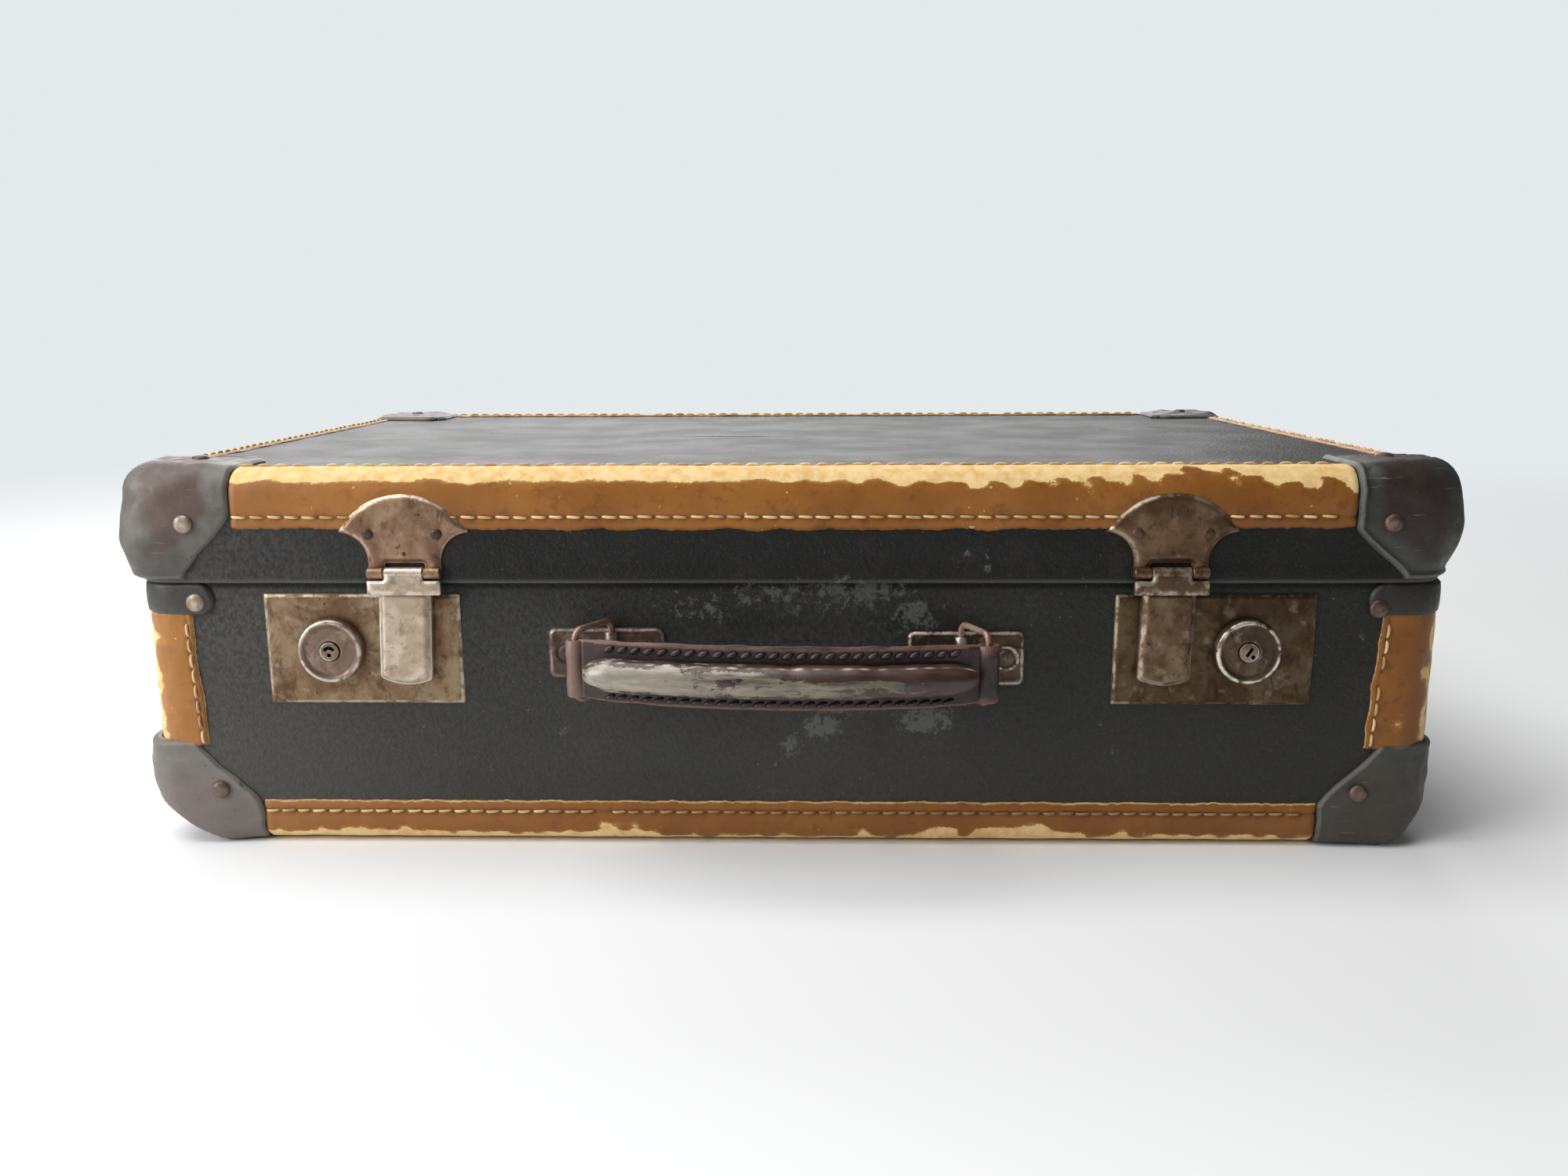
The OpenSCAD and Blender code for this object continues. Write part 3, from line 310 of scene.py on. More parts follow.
def old_steel(name, base, stain, bright, metal=0.75, pits=0.7, rub_power=0.75, hole=False):
    """Worn plated steel. Attributes: edge (bright rubbed borders) and grime (painted shade in a knob's dish).
    hole: painted shade, near black inside the keyhole."""
    n = Surface(name, base)
    mid, deep = n.noise(3.6, 5, 0.68), scaled(stain, 0.5)
    n.tint(stain, n.noise(17, 5, 0.66, distort=0.6), 0.38, 0.62)
    n.tint(deep, mid, 0.5, 0.72, 0.6)
    patches = n.noise(9, 5, 0.7, n.stretch(1.3, 1.0, 0.7), 0.8).span(0.54, 0.66, 0, 0.65)
    n.tint(deep, patches)
    n.tint(bright, n.noise(6, 4, 0.6), 0.55, 0.72, 0.25)
    spot = n.noise(1.9, 2, 0.5).span(0.69, 0.75, 0, pits)
    n.tint((38, 26, 20), spot)
    rub = n.attr("edge") * n.noise(5, 4, 0.65).span(0.3, 0.62, 0.25, 1.1)
    rubbed = rub.span(0.3, 0.85) * rub_power
    n.tint(bright, rubbed)
    # painted shade where grime is set: a knob's dish
    n.tint((30, 22, 18), n.attr("grime"))
    # painted shade: near black inside the keyhole
    if hole:
        n.tint((6, 5, 5), n.axis(1), -0.14452, -0.14435)
    height = mid * 0.5 - spot * 0.5 + n.noise(0.5, 2, 0.6) * 0.12 - patches * 0.2
    return n.done(mid.span(0.3, 0.7, 0.36, 0.55) - rubbed * 0.1, n.bump(height, 0.16), metal)


def thread():
    n = Surface("waxed_thread", (176, 136, 86))
    n.tint((232, 202, 152), n.attr("tone"))
    n.tint((120, 94, 60), n.noise(14, 3, 0.6), 0.5, 0.75, 0.6)
    # darker at the bottom toward the right: soiled near the floor, and painted shade growing to the right
    n.tint((134, 92, 52), n.axis(2).span(0.03, 0.02) * n.axis(0).span(-0.14, 0.02, 0, 0.8))
    return n.done(0.7, n.bump(n.noise(0.45, 1, 0.5), 0.12))


def dark_thread():
    n = Surface("dark_thread", (30, 22, 19))
    n.tint((56, 42, 36), n.attr("tone"))
    return n.done(0.42, n.bump(n.noise(0.5, 1, 0.5), 0.12))


def strap_leather():
    """Handle leather. Attribute edge: paler rubbed borders; on the left loop partly a painted highlight."""
    n = Surface("dark_strap_leather", (40, 29, 26))
    mid = n.noise(3.5, 4, 0.6)
    n.tint((58, 42, 37), n.noise(22, 4, 0.6), 0.3, 0.7)
    n.tint((36, 24, 21), mid, 0.5, 0.75, 0.6)
    n.tint((126, 92, 78), n.attr("edge") + (mid - 0.5) * 0.9, 0.45, 0.95, 0.7)
    # the left loop paler: partly rubbed, partly a painted highlight
    n.tint((138, 118, 108), n.axis(0), -0.0716, -0.0726, 0.5)
    return n.done(mid.span(0.3, 0.7, 0.36, 0.55), n.bump(mid * 0.7 + n.noise(0.8, 2, 0.6) * 0.3, 0.25))


def roll_leather():
    """The roll: brown leather whose finish is worn to a grey shine. Attributes: wear (1 where the hand
    rubs it; low on the underside, kept dark brown as painted shade) and edge (a painted highlight line along
    its top)."""
    n = Surface("worn_roll_leather", (44, 29, 24))
    x, streaks = n.axis(0), n.noise(2.6, 4, 0.6, n.stretch(0.14, 1, 1))
    n.tint((78, 52, 42), streaks, 0.35, 0.7)
    brown, n.color = n.color, srgb(90, 82, 67)
    n.tint((146, 138, 120), streaks, 0.36, 0.62)
    n.tint((84, 72, 56), n.noise(12, 4, 0.65, n.stretch(0.35, 1, 1.2)), 0.48, 0.66, 0.55)
    n.tint((84, 66, 54), n.noise(3.0, 4, 0.7), 0.56, 0.7, 0.6)
    # painted highlight at the roll's left end
    n.tint((184, 176, 164), x, -0.01, -0.055, 0.42)
    # painted shade: darker to the right
    n.tint((50, 41, 32), x, -0.02, 0.06, 0.62)
    big = n.noise(9, 6, 0.68, n.stretch(0.3, 1, 1.3), 0.4)
    blotch = n.noise(4.2, 6, 0.75, n.stretch(0.5, 1, 1.1), 0.3)
    worn = n.attr("wear") + (big - 0.5) * 1.5 + (blotch - 0.53) * 1.5 - x.span(-0.005, 0.05, 0, 0.2)
    grey = worn.span(0.42, 0.56)
    n.color = n.mix(grey, brown, n.color)
    # painted highlight line along the top
    n.tint((206, 190, 178), n.attr("edge"), 0.25, 0.8, 0.9)
    height = streaks * 0.5 + n.noise(0.8, 3, 0.6) * 0.12 - grey * 0.35
    return n.done(grey.span(0, 1, 0.4, 0.27), n.bump(height, 0.28), specular=0.7)


def board():
    n = Surface("plain_board", (150, 122, 84))
    n.tint((178, 150, 110), n.noise(3, 5, 0.7, n.stretch(0.3, 0.3, 1.0)), 0.3, 0.7)
    n.tint((112, 86, 56), n.noise(40, 3, 0.6), 0.5, 0.75, 0.4)
    return n.done(0.85, n.bump(n.noise(0.8, 3, 0.6), 0.15))


def lining_paper():
    """Old lining paper with a woven print: fine crossing lines, foxed and dusty."""
    n = Surface("lining_paper", (176, 156, 122))
    a, b, c = ((n.axis(i) * (2 * PI / 0.0034)).combine("SINE").span(0.55, 0.95) for i in range(3))
    n.tint((196, 178, 144), n.noise(60, 4, 0.6), 0.3, 0.7)
    n.tint((120, 100, 74), a.combine("MAXIMUM", b).combine("MAXIMUM", c) * 0.3)
    n.tint((128, 92, 52), n.noise(12, 5, 0.7), 0.62, 0.8, 0.55)
    return n.done(0.9, n.bump(n.noise(1.2, 3, 0.6), 0.1))


# The left and right copies of the cap, lock plate, knob, fan and hasp finishes differ partly in their own
# tone and partly by painted light: the left copies are painted lighter and the right ones darker, for light
# falling off from left to right.
M = {
    "cloth": leatherette(),
    "tan": binding_leather(),
    "cap_left": pressed_fibre("fibre_grey_lit", (102, 98, 92), (84, 62, 54), (122, 115, 109), (44, 37, 33)),
    "cap_right": pressed_fibre("fibre_dark_shaded", (52, 52, 47), (40, 24, 19), (74, 68, 60)),
    # the bands' fibre gets painted shade to the right (dim)
    "band": pressed_fibre("fibre_band", (58, 55, 52), (50, 42, 39), dim=0.6),
    "plate_left": old_steel("lock_plate_olive_lit", (144, 124, 98), (112, 84, 60), (206, 194, 172)),
    "plate_right": old_steel("lock_plate_brown_shaded", (98, 82, 58), (72, 53, 35), (186, 174, 152)),
    "knob_left": old_steel("knob_steel", (160, 140, 124), (130, 108, 92), (212, 202, 188)),
    "knob_right": old_steel("knob_steel_dark_shaded", (118, 100, 82), (84, 66, 50), (228, 220, 206), rub_power=1.0),
    "barrel": old_steel("barrel_steel", (152, 134, 120), (122, 102, 88), (212, 202, 188), hole=True),
    "fan_left": old_steel("fan_steel_left", (160, 130, 104), (126, 96, 74), (212, 198, 182)),
    "fan_right": old_steel("fan_steel_right", (124, 98, 73), (94, 70, 49), (184, 168, 148)),
    "hasp_left": old_steel("hasp_steel_left", (204, 188, 168), (172, 154, 132), (226, 216, 202)),
    "hasp_right": old_steel("hasp_steel_right", (128, 108, 84), (94, 74, 54), (196, 184, 164)),
    "wire": old_steel("ring_wire_steel", (184, 152, 134), (146, 112, 94), (218, 198, 182), 0.55),
    "hplate_left": old_steel("handle_plate_dark", (104, 86, 76), (74, 58, 50), (160, 146, 134), 0.5),
    "hplate_right": old_steel("handle_plate_steel", (94, 80, 66), (66, 52, 40), (212, 202, 186), pits=0.3),
    "rivet": old_steel("rivet_steel", (178, 164, 148), (146, 126, 108), (214, 204, 190), 0.5, 0.4),
    "rivet_dark": old_steel("rivet_brown", (120, 100, 88), (88, 68, 58), (166, 150, 138), 0.5, 0.4),
    "nail": old_steel("nail_brown", (84, 62, 50), (58, 42, 34), (120, 98, 84), 0.4),
    "hidden": old_steel("inner_steel", (142, 134, 122), (112, 98, 84), (190, 184, 172)),
    "thread": thread(),
    "dark_thread": dark_thread(),
    "strap": strap_leather(),
    "roll": roll_leather(),
    "board": board(),
    "lining": lining_paper(),
}


# mesh making
def mesh_object(name, verts, faces):
    v = np.array(verts, float).reshape(-1, 3)
    v[:, 1] += CASE_Y
    me = bpy.data.meshes.new(name)
    me.from_pydata((v / 1000).tolist(), [], [list(f) for f in faces])
    ob = bpy.data.objects.new(name, me)
    bpy.context.scene.collection.objects.link(ob)
    return ob


def orient(ob):
    """Makes a closed mesh's faces look outward."""
    bm = bmesh.new()
    bm.from_mesh(ob.data)
    bmesh.ops.recalc_face_normals(bm, faces=bm.faces)
    bm.to_mesh(ob.data)
    bm.free()
    return ob


def make(name, verts, faces, body, slot, mat, replaces=(), sharp=None, **attrs):
    """A piece of the visual model. sharp: edges over this angle in degrees stay sharp."""
    ob = mesh_object(name, verts, faces)
    me = ob.data
    for key, values in attrs.items():
        layer = me.attributes.new(key, "FLOAT", "POINT")
        layer.data.foreach_set("value", np.asarray(values, np.float32).ravel())
    me.shade_smooth()
    if sharp:
        me.set_sharp_from_angle(angle=math.radians(sharp))
    me.update()
    me.materials.append(M[mat])
    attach(ob, body)
    if replaces:
        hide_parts(*replaces)
    return orient(ob)


class Soup:
    """Collects pieces of geometry and their attributes for one object."""

    def __init__(self, *keys):
        self.v, self.f, self.a = [], [], {k: [] for k in keys}

    def add(self, verts, faces, **attrs):
        start, count = sum(map(len, self.v)), len(verts)
        self.v.append(np.asarray(verts, float))
        self.f += [[i + start for i in f] for f in faces]
        for k in self.a:
            self.a[k].append(np.broadcast_to(np.ravel(attrs.get(k, 0.0)), (count,)))

    def add_skin(self, verts, faces, **attrs):
        """Adds a slab whose attributes are given for its outer grid alone."""
        self.add(verts, faces, **{k: np.append(np.ravel(a), np.zeros(np.size(a))) for k, a in attrs.items()})

    def make(self, name, body, slot, mat, replaces=(), sharp=None):
        attrs = {k: np.concatenate(x) for k, x in self.a.items()}
        return make(name, np.concatenate(self.v), self.f, body, slot, mat, replaces, sharp, **attrs)


def quads(rows, cols, base=0, wrap_rows=False, wrap_cols=False, flip=False):
    out = []
    for i in range(rows if wrap_rows else rows - 1):
        i2 = (i + 1) % rows
        for j in range(cols if wrap_cols else cols - 1):
            j2 = (j + 1) % cols
            q = [base + i * cols + j, base + i2 * cols + j, base + i2 * cols + j2, base + i * cols + j2]
            out.append(q[::-1] if flip else q)
    return out


def rod(rows, cols):
    """Faces of rows of closed loops, with both ends closed."""
    ends = [list(range(cols)), [(rows - 1) * cols + k for k in range(cols)][::-1]]
    return quads(rows, cols, wrap_cols=True) + ends


def slab(outer, inner):
    """A closed skin between two grids of the same shape."""
    n, m, _ = outer.shape
    k = n * m
    ring = ([i * m for i in range(n)] + [(n - 1) * m + j for j in range(1, m)]
            + [i * m + m - 1 for i in range(n - 2, -1, -1)] + list(range(m - 2, 0, -1)))
    faces = quads(n, m) + quads(n, m, k, flip=True)
    faces += [[b, b + k, a + k, a] for a, b in zip(ring, ring[1:] + ring[:1])]
    return np.concatenate([outer.reshape(-1, 3), inner.reshape(-1, 3)]), faces


def block(x0, x1, y0, y1, z0, z1):
    faces = [(0, 1, 3, 2), (4, 6, 7, 5), (0, 4, 5, 1), (2, 3, 7, 6), (0, 2, 6, 4), (1, 5, 7, 3)]
    return [(x, y, z) for x in (x0, x1) for y in (y0, y1) for z in (z0, z1)], faces


def revolved(points, count):
    """The (r, w) points turned about +w, one run of them for each of count steps."""
    turns = [2 * PI * k / count for k in range(count)]
    return [(r * math.cos(a), r * math.sin(a), w) for a in turns for r, w in points]


def lathe(profile, count=48):
    """Closed solid of revolution about +w from (r, w) points; r = 0 only at the ends."""
    verts, rows, faces = [], [], []
    for r, w in profile:
        new = [(0, 0, w)] if r < 1e-6 else revolved([(r, w)], count)
        rows.append(list(range(len(verts), len(verts) + len(new))))
        verts += new
    for a, b in zip(rows, rows[1:]):
        for k in range(count):
            k2 = (k + 1) % count
            if len(a) == 1:
                faces.append([b[k], b[k2], a[0]])
            elif len(b) == 1:
                faces.append([a[k], a[k2], b[0]])
            else:
                faces.append([a[k], a[k2], b[k2], b[k]])
    return np.array(verts), faces


def ring_of_revolution(profile, count=40):
    """A closed ring solid from a closed (r, w) outline."""
    faces = quads(count, len(profile), wrap_rows=True, wrap_cols=True)
    return np.array(revolved(profile, count)), faces


def front(verts, x, y, z, lean=0.0):
    """Puts (u right, v up, w outward) points on the front: y is the distance in front of the middle."""
    v = np.asarray(verts, float).reshape(-1, 3)
    c, s = math.cos(lean), math.sin(lean)
    u, w = v[:, 0] * c - v[:, 1] * s, v[:, 0] * s + v[:, 1] * c
    return np.column_stack([x + u, -y - v[:, 2], z + w])


def tube(path, r, count=10, closed=False):
    """A round tube along a path."""
    p = np.asarray(path, float)
    t = np.roll(p, -1, 0) - np.roll(p, 1, 0) if closed else np.gradient(p, axis=0)
    t /= np.linalg.norm(t, axis=1, keepdims=True)
    u = np.cross(t[0], [0.0, 0, 1] if abs(t[0][2]) < 0.9 else [1.0, 0, 0])
    u /= np.linalg.norm(u)
    a = 2 * PI * np.arange(count) / count
    rings = []
    for point, along, radius in zip(p, t, np.broadcast_to(r, len(p))):
        u = u - along * u.dot(along)
        u /= np.linalg.norm(u)
        rings.append(point + radius * (np.outer(np.cos(a), u) + np.outer(np.sin(a), np.cross(along, u))))
    faces = quads(len(p), count, wrap_rows=True, wrap_cols=True) if closed else rod(len(p), count)
    return np.concatenate(rings), faces


def cut(ob, *tools):
    """Cuts whole meshes, each given as points and faces, out of an object, exactly."""
    for verts, faces in tools:
        tool = orient(mesh_object("cutter", verts, faces))
        mod = ob.modifiers.new("cut", "BOOLEAN")
        mod.operation, mod.solver, mod.object = "DIFFERENCE", "EXACT", tool
        dg = bpy.context.evaluated_depsgraph_get()
        new = bpy.data.meshes.new_from_object(ob.evaluated_get(dg), preserve_all_data_layers=True,
                                              depsgraph=dg)
        ob.modifiers.remove(mod)
        spent = [ob.data, tool.data]
        ob.data = new
        bpy.data.objects.remove(tool)
        for me in spent:
            bpy.data.meshes.remove(me)


# the box surfaces
class Box:
    """A box with round corners and a round closed edge, and the unfolded distance q over that edge."""

    def __init__(self, w, d, r, edge, closed_z, up):
        self.w, self.d, self.r, self.edge, self.z, self.up = w, d, r, edge, closed_z, up
        self.turn = edge * PI / 2

    def row(self, q):
        """Inset from the wall, height from the closed end, and the normal's outward and closed-end parts."""
        q = np.asarray(q, float)
        a = np.clip(q / self.edge, 0, PI / 2)
        inset = self.edge * (1 - np.cos(a)) + np.maximum(q - self.turn, 0)
        height = self.edge * (1 - np.sin(a)) + np.maximum(-q, 0)
        return inset, height, np.cos(a), np.sin(a)

    def q_panel(self, inset):
        return self.turn + inset - self.edge

    def wall(self, side, t, q, off):
        """Points on one straight side, t along it and off outward, and the normals there."""
        t, q, off = np.broadcast_arrays(t, q, off)
        inset, h, no, nc = self.row(q)
        across = side in ("left", "right")
        s = -1 if side in ("front", "left") else 1
        base = [s * ((self.w if across else self.d) / 2 - inset), t]
        normal = [s * no, 0 * no]
        if not across:
            base.reverse()
            normal.reverse()
        normal = np.stack([*normal, -self.up * nc], -1)
        return np.stack([*base, self.z + self.up * h], -1) + normal * off[..., None], normal


BASE = Box(BASE_W, BASE_D, BASE_R, BASE_EDGE, BASE_Z, 1)
LID = Box(LID_W, LID_D, LID_R, LID_EDGE, LID_TOP, -1)
# corner, and the length, height and depth of its knock
KNOCKS = ((-1, -1, 23, 15, 36), (1, -1, 14, 14, 30), (-1, 1, 11, 9, 26), (1, 1, 13, 10, 28))
# corner, and how far it draws in
LID_PULLS = ((-1, -1, 0.7), (1, -1, 2.2), (-1, 1, 1.6), (1, 1, 2.0))


def crushed(v, part):
    """Wear of the case's own shape: knocked lower corners of the base, and a lid whose corners
    draw in at its lower edge. Each mesh in reach of that wear goes through it, so all stay seated."""
    p = np.array(v, float)
    for sx, sy, length, height, depth in KNOCKS if part == "base" else ():
        a, b, c = BASE_W / 2 - sx * p[:, 0], BASE_D / 2 - sy * p[:, 1], p[:, 2] - BASE_Z
        d = np.maximum(1 - (a / length + c / height), 0)
        push = d ** 2 / (d + 0.05) * (1 - smooth((b - 4) / depth))
        push = np.where((a < 40) & (b < 60), push, 0) / (1 / length ** 2 + 1 / height ** 2)
        p[:, 0] -= sx * push / length
        p[:, 2] += push / height
    for sx, sy, pull in LID_PULLS if part == "lid" else ():
        a, b = LID_W / 2 - sx * p[:, 0], LID_D / 2 - sy * p[:, 1]
        w = (1 - smooth(a / 46)) * (1 - smooth(b / 46)) * smooth((122 - p[:, 2]) / 18) * pull
        p[:, 0] -= sx * w * (1 - smooth(a / 20))
        p[:, 1] -= sy * w * 0.6 * (1 - smooth(b / 20))
    return p


# the board shells
def box_loop(box, inset, z, n_arc=9, nx=72, ny=46):
    """One outline at an inset, counter-clockwise from above."""
    rho = max(box.r - inset, 0.5)
    cx, cy = box.w / 2 - inset - rho, box.d / 2 - inset - rho
    tx, ty = np.linspace(-cx, cx, nx), np.linspace(-cy, cy, ny)
    a = np.linspace(0, PI / 2, n_arc + 2)[1:-1]
    c, s = rho * np.cos(a), rho * np.sin(a)
    p = np.concatenate([np.stack(np.broadcast_arrays(x, y), 1) for x, y in (
        (tx, -cy - rho), (cx + s, -cy - c), (cx + rho, ty), (cx + c, cy + s),
        (tx[::-1], cy + rho), (-cx - s, cy + c), (-cx - rho, ty[::-1]), (-cx - c, -cy - s))])
    return np.column_stack([p, np.full(len(p), z)])


def shell(box, height, outer, inner, part, bulge=None):
    """An open box of board from offset inner to offset outer. bulge(loop, angle, height) moves its
    outer skin."""
    wall = np.linspace(box.edge - height, 0, max(int(height / 3.2), 4))
    arc = np.linspace(0, box.turn, 8)[1:]
    panel = np.linspace(box.turn, box.turn + min(box.w, box.d) / 2 - box.edge - 2.0, 22)[1:]
    rows = np.concatenate([wall, arc, panel])
    loops = []
    for off, qs, move in ((outer, rows[::-1], bulge), (inner, rows, None)):
        e = box.edge + off
        for q in qs:
            a = min(max(q / box.edge, 0), PI / 2)
            h = -off + e * (1 - math.sin(a)) + max(-q, 0)
            inset = -off + e * (1 - math.cos(a)) + max(q - box.turn, 0)
            loop = box_loop(box, inset, box.z + box.up * h)
            loops.append(move(loop, a, h) if move else loop)
    n, last = len(loops[0]), len(loops) - 1
    faces = quads(len(loops), n, wrap_cols=True) + [list(range(n)), [last * n + i for i in range(n)]]
    return crushed(np.concatenate(loops), part), faces


def lid_bulge(p, a, h):
    """Turned lower edge, a groove above it, and the sag of an old top."""
    x, y = p[:, 0].copy(), p[:, 1].copy()
    if a <= 0:
        edge_h = LID_H - h
        out = 0.85 * smooth((4.9 - edge_h) / 0.8) - 0.35 * peak(edge_h, 5.2, 0.5)
        out = out - 0.7 * smooth((0.9 - edge_h) / 0.9)
        out = out + 0.25 * wobble2(x + y, 0 * x + h, 5, 60) * smooth((h - 8) / 8)
        side_x, side_y = np.abs(x) > LID_W / 2 - 1.0, np.abs(y) > LID_D / 2 - 1.0
        v = np.stack([x - np.sign(x) * (LID_W / 2 - LID_R), y - np.sign(y) * (LID_D / 2 - LID_R)])
        v /= np.maximum(np.linalg.norm(v, axis=0), 1e-9)
        corner = ~(side_x | side_y)
        p[:, 0] += np.where(corner, v[0], np.where(side_x, np.sign(x), 0.0)) * out
        p[:, 1] += np.where(corner, v[1], np.where(side_y, np.sign(y), 0.0)) * out
    if a >= PI / 2:
        inset = min(LID_W / 2 - np.abs(x).max(), LID_D / 2 - np.abs(y).max())
        sag = 0.3 * wobble2(x, y, 8, 260) + 0.05 * wobble2(x, y, 9, 90) - 0.6
        p[:, 2] += smooth((inset - 16) / 34) * sag
    return p


def base_bulge(p, a, h):
    """Slightly wavy walls."""
    if a <= 0:
        w = smooth((h - 14) / 16) * smooth((96 - h) / 16)
        out = 0.3 * w * wobble2(p[:, 0] + p[:, 1], p[:, 2], 15, 85) - 0.1
        fy = np.abs(p[:, 1]) > BASE_D / 2 - 0.5
        fx = (np.abs(p[:, 0]) > BASE_W / 2 - 0.5) & ~fy
        p[:, 1] += np.where(fy, np.sign(p[:, 1]) * out, 0)
        p[:, 0] += np.where(fx, np.sign(p[:, 0]) * out, 0)
    return p


CASE_HOLES = [block(s * LOCK_X - 32.2, s * LOCK_X + 32.2, -160.0, -150.0, LOCK_Z - 15.2, LOCK_Z + 15.2)
              for s in (-1, 1)]
BOARD, LINING = (0.0, -2.6), (-2.62, -3.1)         # outer and inner offsets of the two layers
cut(make("base_tray_skin", *shell(BASE, BASE_H, *BOARD, "base", base_bulge), "base", "leatherette_board",
         "cloth", ["base_tray"], 50), *CASE_HOLES)
cut(make("base_lining_skin", *shell(BASE, BASE_H - 8.5, *LINING, "base"), "base", "lining_paper",
         "lining", ["base_lining"], 50), *CASE_HOLES)
make("lid_shell_skin", *shell(LID, LID_H, *BOARD, "lid", lid_bulge), "lid", "leatherette_board",
     "cloth", ["lid_shell"], 50)


# bindings
# lip, then reach, start, tip and curl of each cap on the lid and on the base
CAP_SHAPES = {(-1, -1): (0.05, (41.2, 14.0, 22.6, 0.8), (41.0, 12.0, 17.8, 0.6)),
              (1, -1): (0.5, (39.2, 21.0, 20.2, 0.4), (41.8, 14.0, 20.5, 0.5)),
              (-1, 1): (0.3, (42.0, 18.0, 21.5, 0.5), (41.5, 14.0, 20.5, 0.5)),
              (1, 1): (0.2, (41.4, 16.0, 21.0, 0.6), (42.2, 14.0, 21.0, 0.5))}
FLANGE = 12.0            # how far a binding reaches over the panel


def near_rows(lo, hi, *lines):
    """Row places from lo to hi, close together at both ends and at the given lines."""
    q = [lo, lo + 0.35, lo + 0.8, lo + 1.4, hi - 1.4, hi - 0.8, hi - 0.35, hi]
    for c in lines:
        q += [c - 0.9, c - 0.45, c, c + 0.45, c + 0.9]
    q += list(np.arange(lo + 2.2, hi - 2.0, 2.2))
    q = sorted(x for x in q if lo <= x <= hi)
    out = [q[0]]
    for x in q[1:]:
        if x - out[-1] > 0.28:
            out.append(x)
    out[-1] = hi
    return np.array(out)


def stitch(soup, points, normals, tone):
    """A short bent thread between two points."""
    t = np.linspace(0, 1, 7)[:, None]
    n = normals[0] + (normals[1] - normals[0]) * t
    n = n / np.linalg.norm(n, axis=1, keepdims=True)
    arch = np.sin(PI * t) ** 0.5
    p = points[0] + (points[1] - points[0]) * t + n * (0.55 * arch - 0.55 * np.abs(2 * t - 1) ** 6)
    soup.add(*tube(p, 0.56 * (0.7 + 0.3 * arch[:, 0]), 7), tone=tone)


def stitch_holes(along, pitch, away):
    """1 at the holes of a seam. along: from the first hole. away: from the seam's line."""
    hole = np.abs(along / pitch - np.round(along / pitch)) * pitch
    return peak(hole, 0, 0.75) * peak(away, 0, 0.8)


def strip(part, box, side, ends, face_h, pitch, length, seed, wear_at, margins, sag=0.0):
    """A straight binding folded over an edge of the box, and its two rows of stitches. ends: where it
    starts and stops. face_h: how far it covers the wall. pitch and length: of the stitches.
    margins: from its borders on the wall and on the panel to the stitches. sag: how far the middle of
    the border on the wall hangs."""
    g = np.random.default_rng(seed)
    q0, q1 = box.edge - face_h, box.q_panel(FLANGE)
    lines = q0 + margins[0], q1 - margins[1]
    half, middle = (ends[1] - ends[0]) / 2, (ends[0] + ends[1]) / 2
    t = np.linspace(*ends, int(2 * half / 1.35))
    T, Q = np.meshgrid(t, near_rows(q0, q1, *lines))
    border = np.minimum(Q - q0, q1 - Q)
    low = 0.4 * wobble(t, seed + 1, 34) + 0.22 * wobble(t, seed + 2, 7)
    low = low - sag * (1 - ((t - middle) / half) ** 2)
    high = 0.35 * wobble(t, seed + 3, 40) + 0.2 * wobble(t, seed + 4, 8)
    wavy = Q + low * (1 - smooth((Q - q0) / 3.2)) - high * (1 - smooth((q1 - Q) / 3.2))
    thick = 0.25 + 0.8 * smooth(border / 1.3) * smooth((half - np.abs(T - middle)) / 1.1 + 0.2)
    # grime: dirt along the borders, painted shade in the stitch holes and along the stitch lines
    grime = 0.65 * (1 - smooth(border / 0.8))
    for line in lines:
        away = np.abs(Q - line)
        dent = stitch_holes(T - t[0], pitch, away)
        thick += 0.12 * peak(away, 1.9, 0.9) - 0.22 * peak(away, 0, 0.75) - 0.3 * dent
        grime = np.maximum(np.maximum(grime, 0.9 * dent), 0.35 * peak(away, 0, 0.7))
    thick += 0.1 * wobble2(T, Q, seed + 5, 26)
    verts, faces = slab(box.wall(side, T, wavy, thick)[0], box.wall(side, T, Q, -0.4)[0])
    soup, name = Soup("wear", "grime"), f"{part}_binding_skin_{side}"
    soup.add_skin(crushed(verts, part), faces, wear=wear_at(T, Q, q0, side == "front"), grime=grime)
    soup.make(name, part, "tan_binding", "tan", [f"{part}_binding_{side}"], 60)
    threads = Soup("tone")
    for line, keep in zip(lines, (0.985, 0.97)):
        for i in range(int((2 * half - 1.0) / pitch)):
            a = t[0] + i * pitch + 0.5 * (pitch - length) + g.normal(0, 0.12)
            b = a + length + g.normal(0, 0.2)
            if g.random() <= keep and b <= ends[1] - 0.6:
                q = line + np.array([0.16, -0.16]) + g.normal(0, 0.08)
                stitch(threads, *box.wall(side, np.array([a, b]), q, 0.85), g.random())
    threads.v = [crushed(v, part) for v in threads.v]
    threads.make(name + "_stitches", part, "tan_binding", "thread")


def lid_wear(T, Q, q0, at_front):
    """How far the lid's bindings are rubbed through: most at the lower border and over the edge."""
    low = 4.3 + 0.35 * wobble(T, 21, 50) + (0.5 + 1.5 * smooth((T + 10) / 150)) * wobble2(T, Q * 1.4, 23, 15)
    if at_front:
        low = low - 3.0 * peak(T, 148, 15) + 1.4 * peak(T, 184, 8) + 0.8 * peak(T, 70, 45)
    w = np.where(Q > LID.turn, 0.62 - (Q - LID.turn) / 14, 0.5 + (low - LID.row(Q)[1]) / 3.6)
    return np.clip(w, 0.12, 0.95)


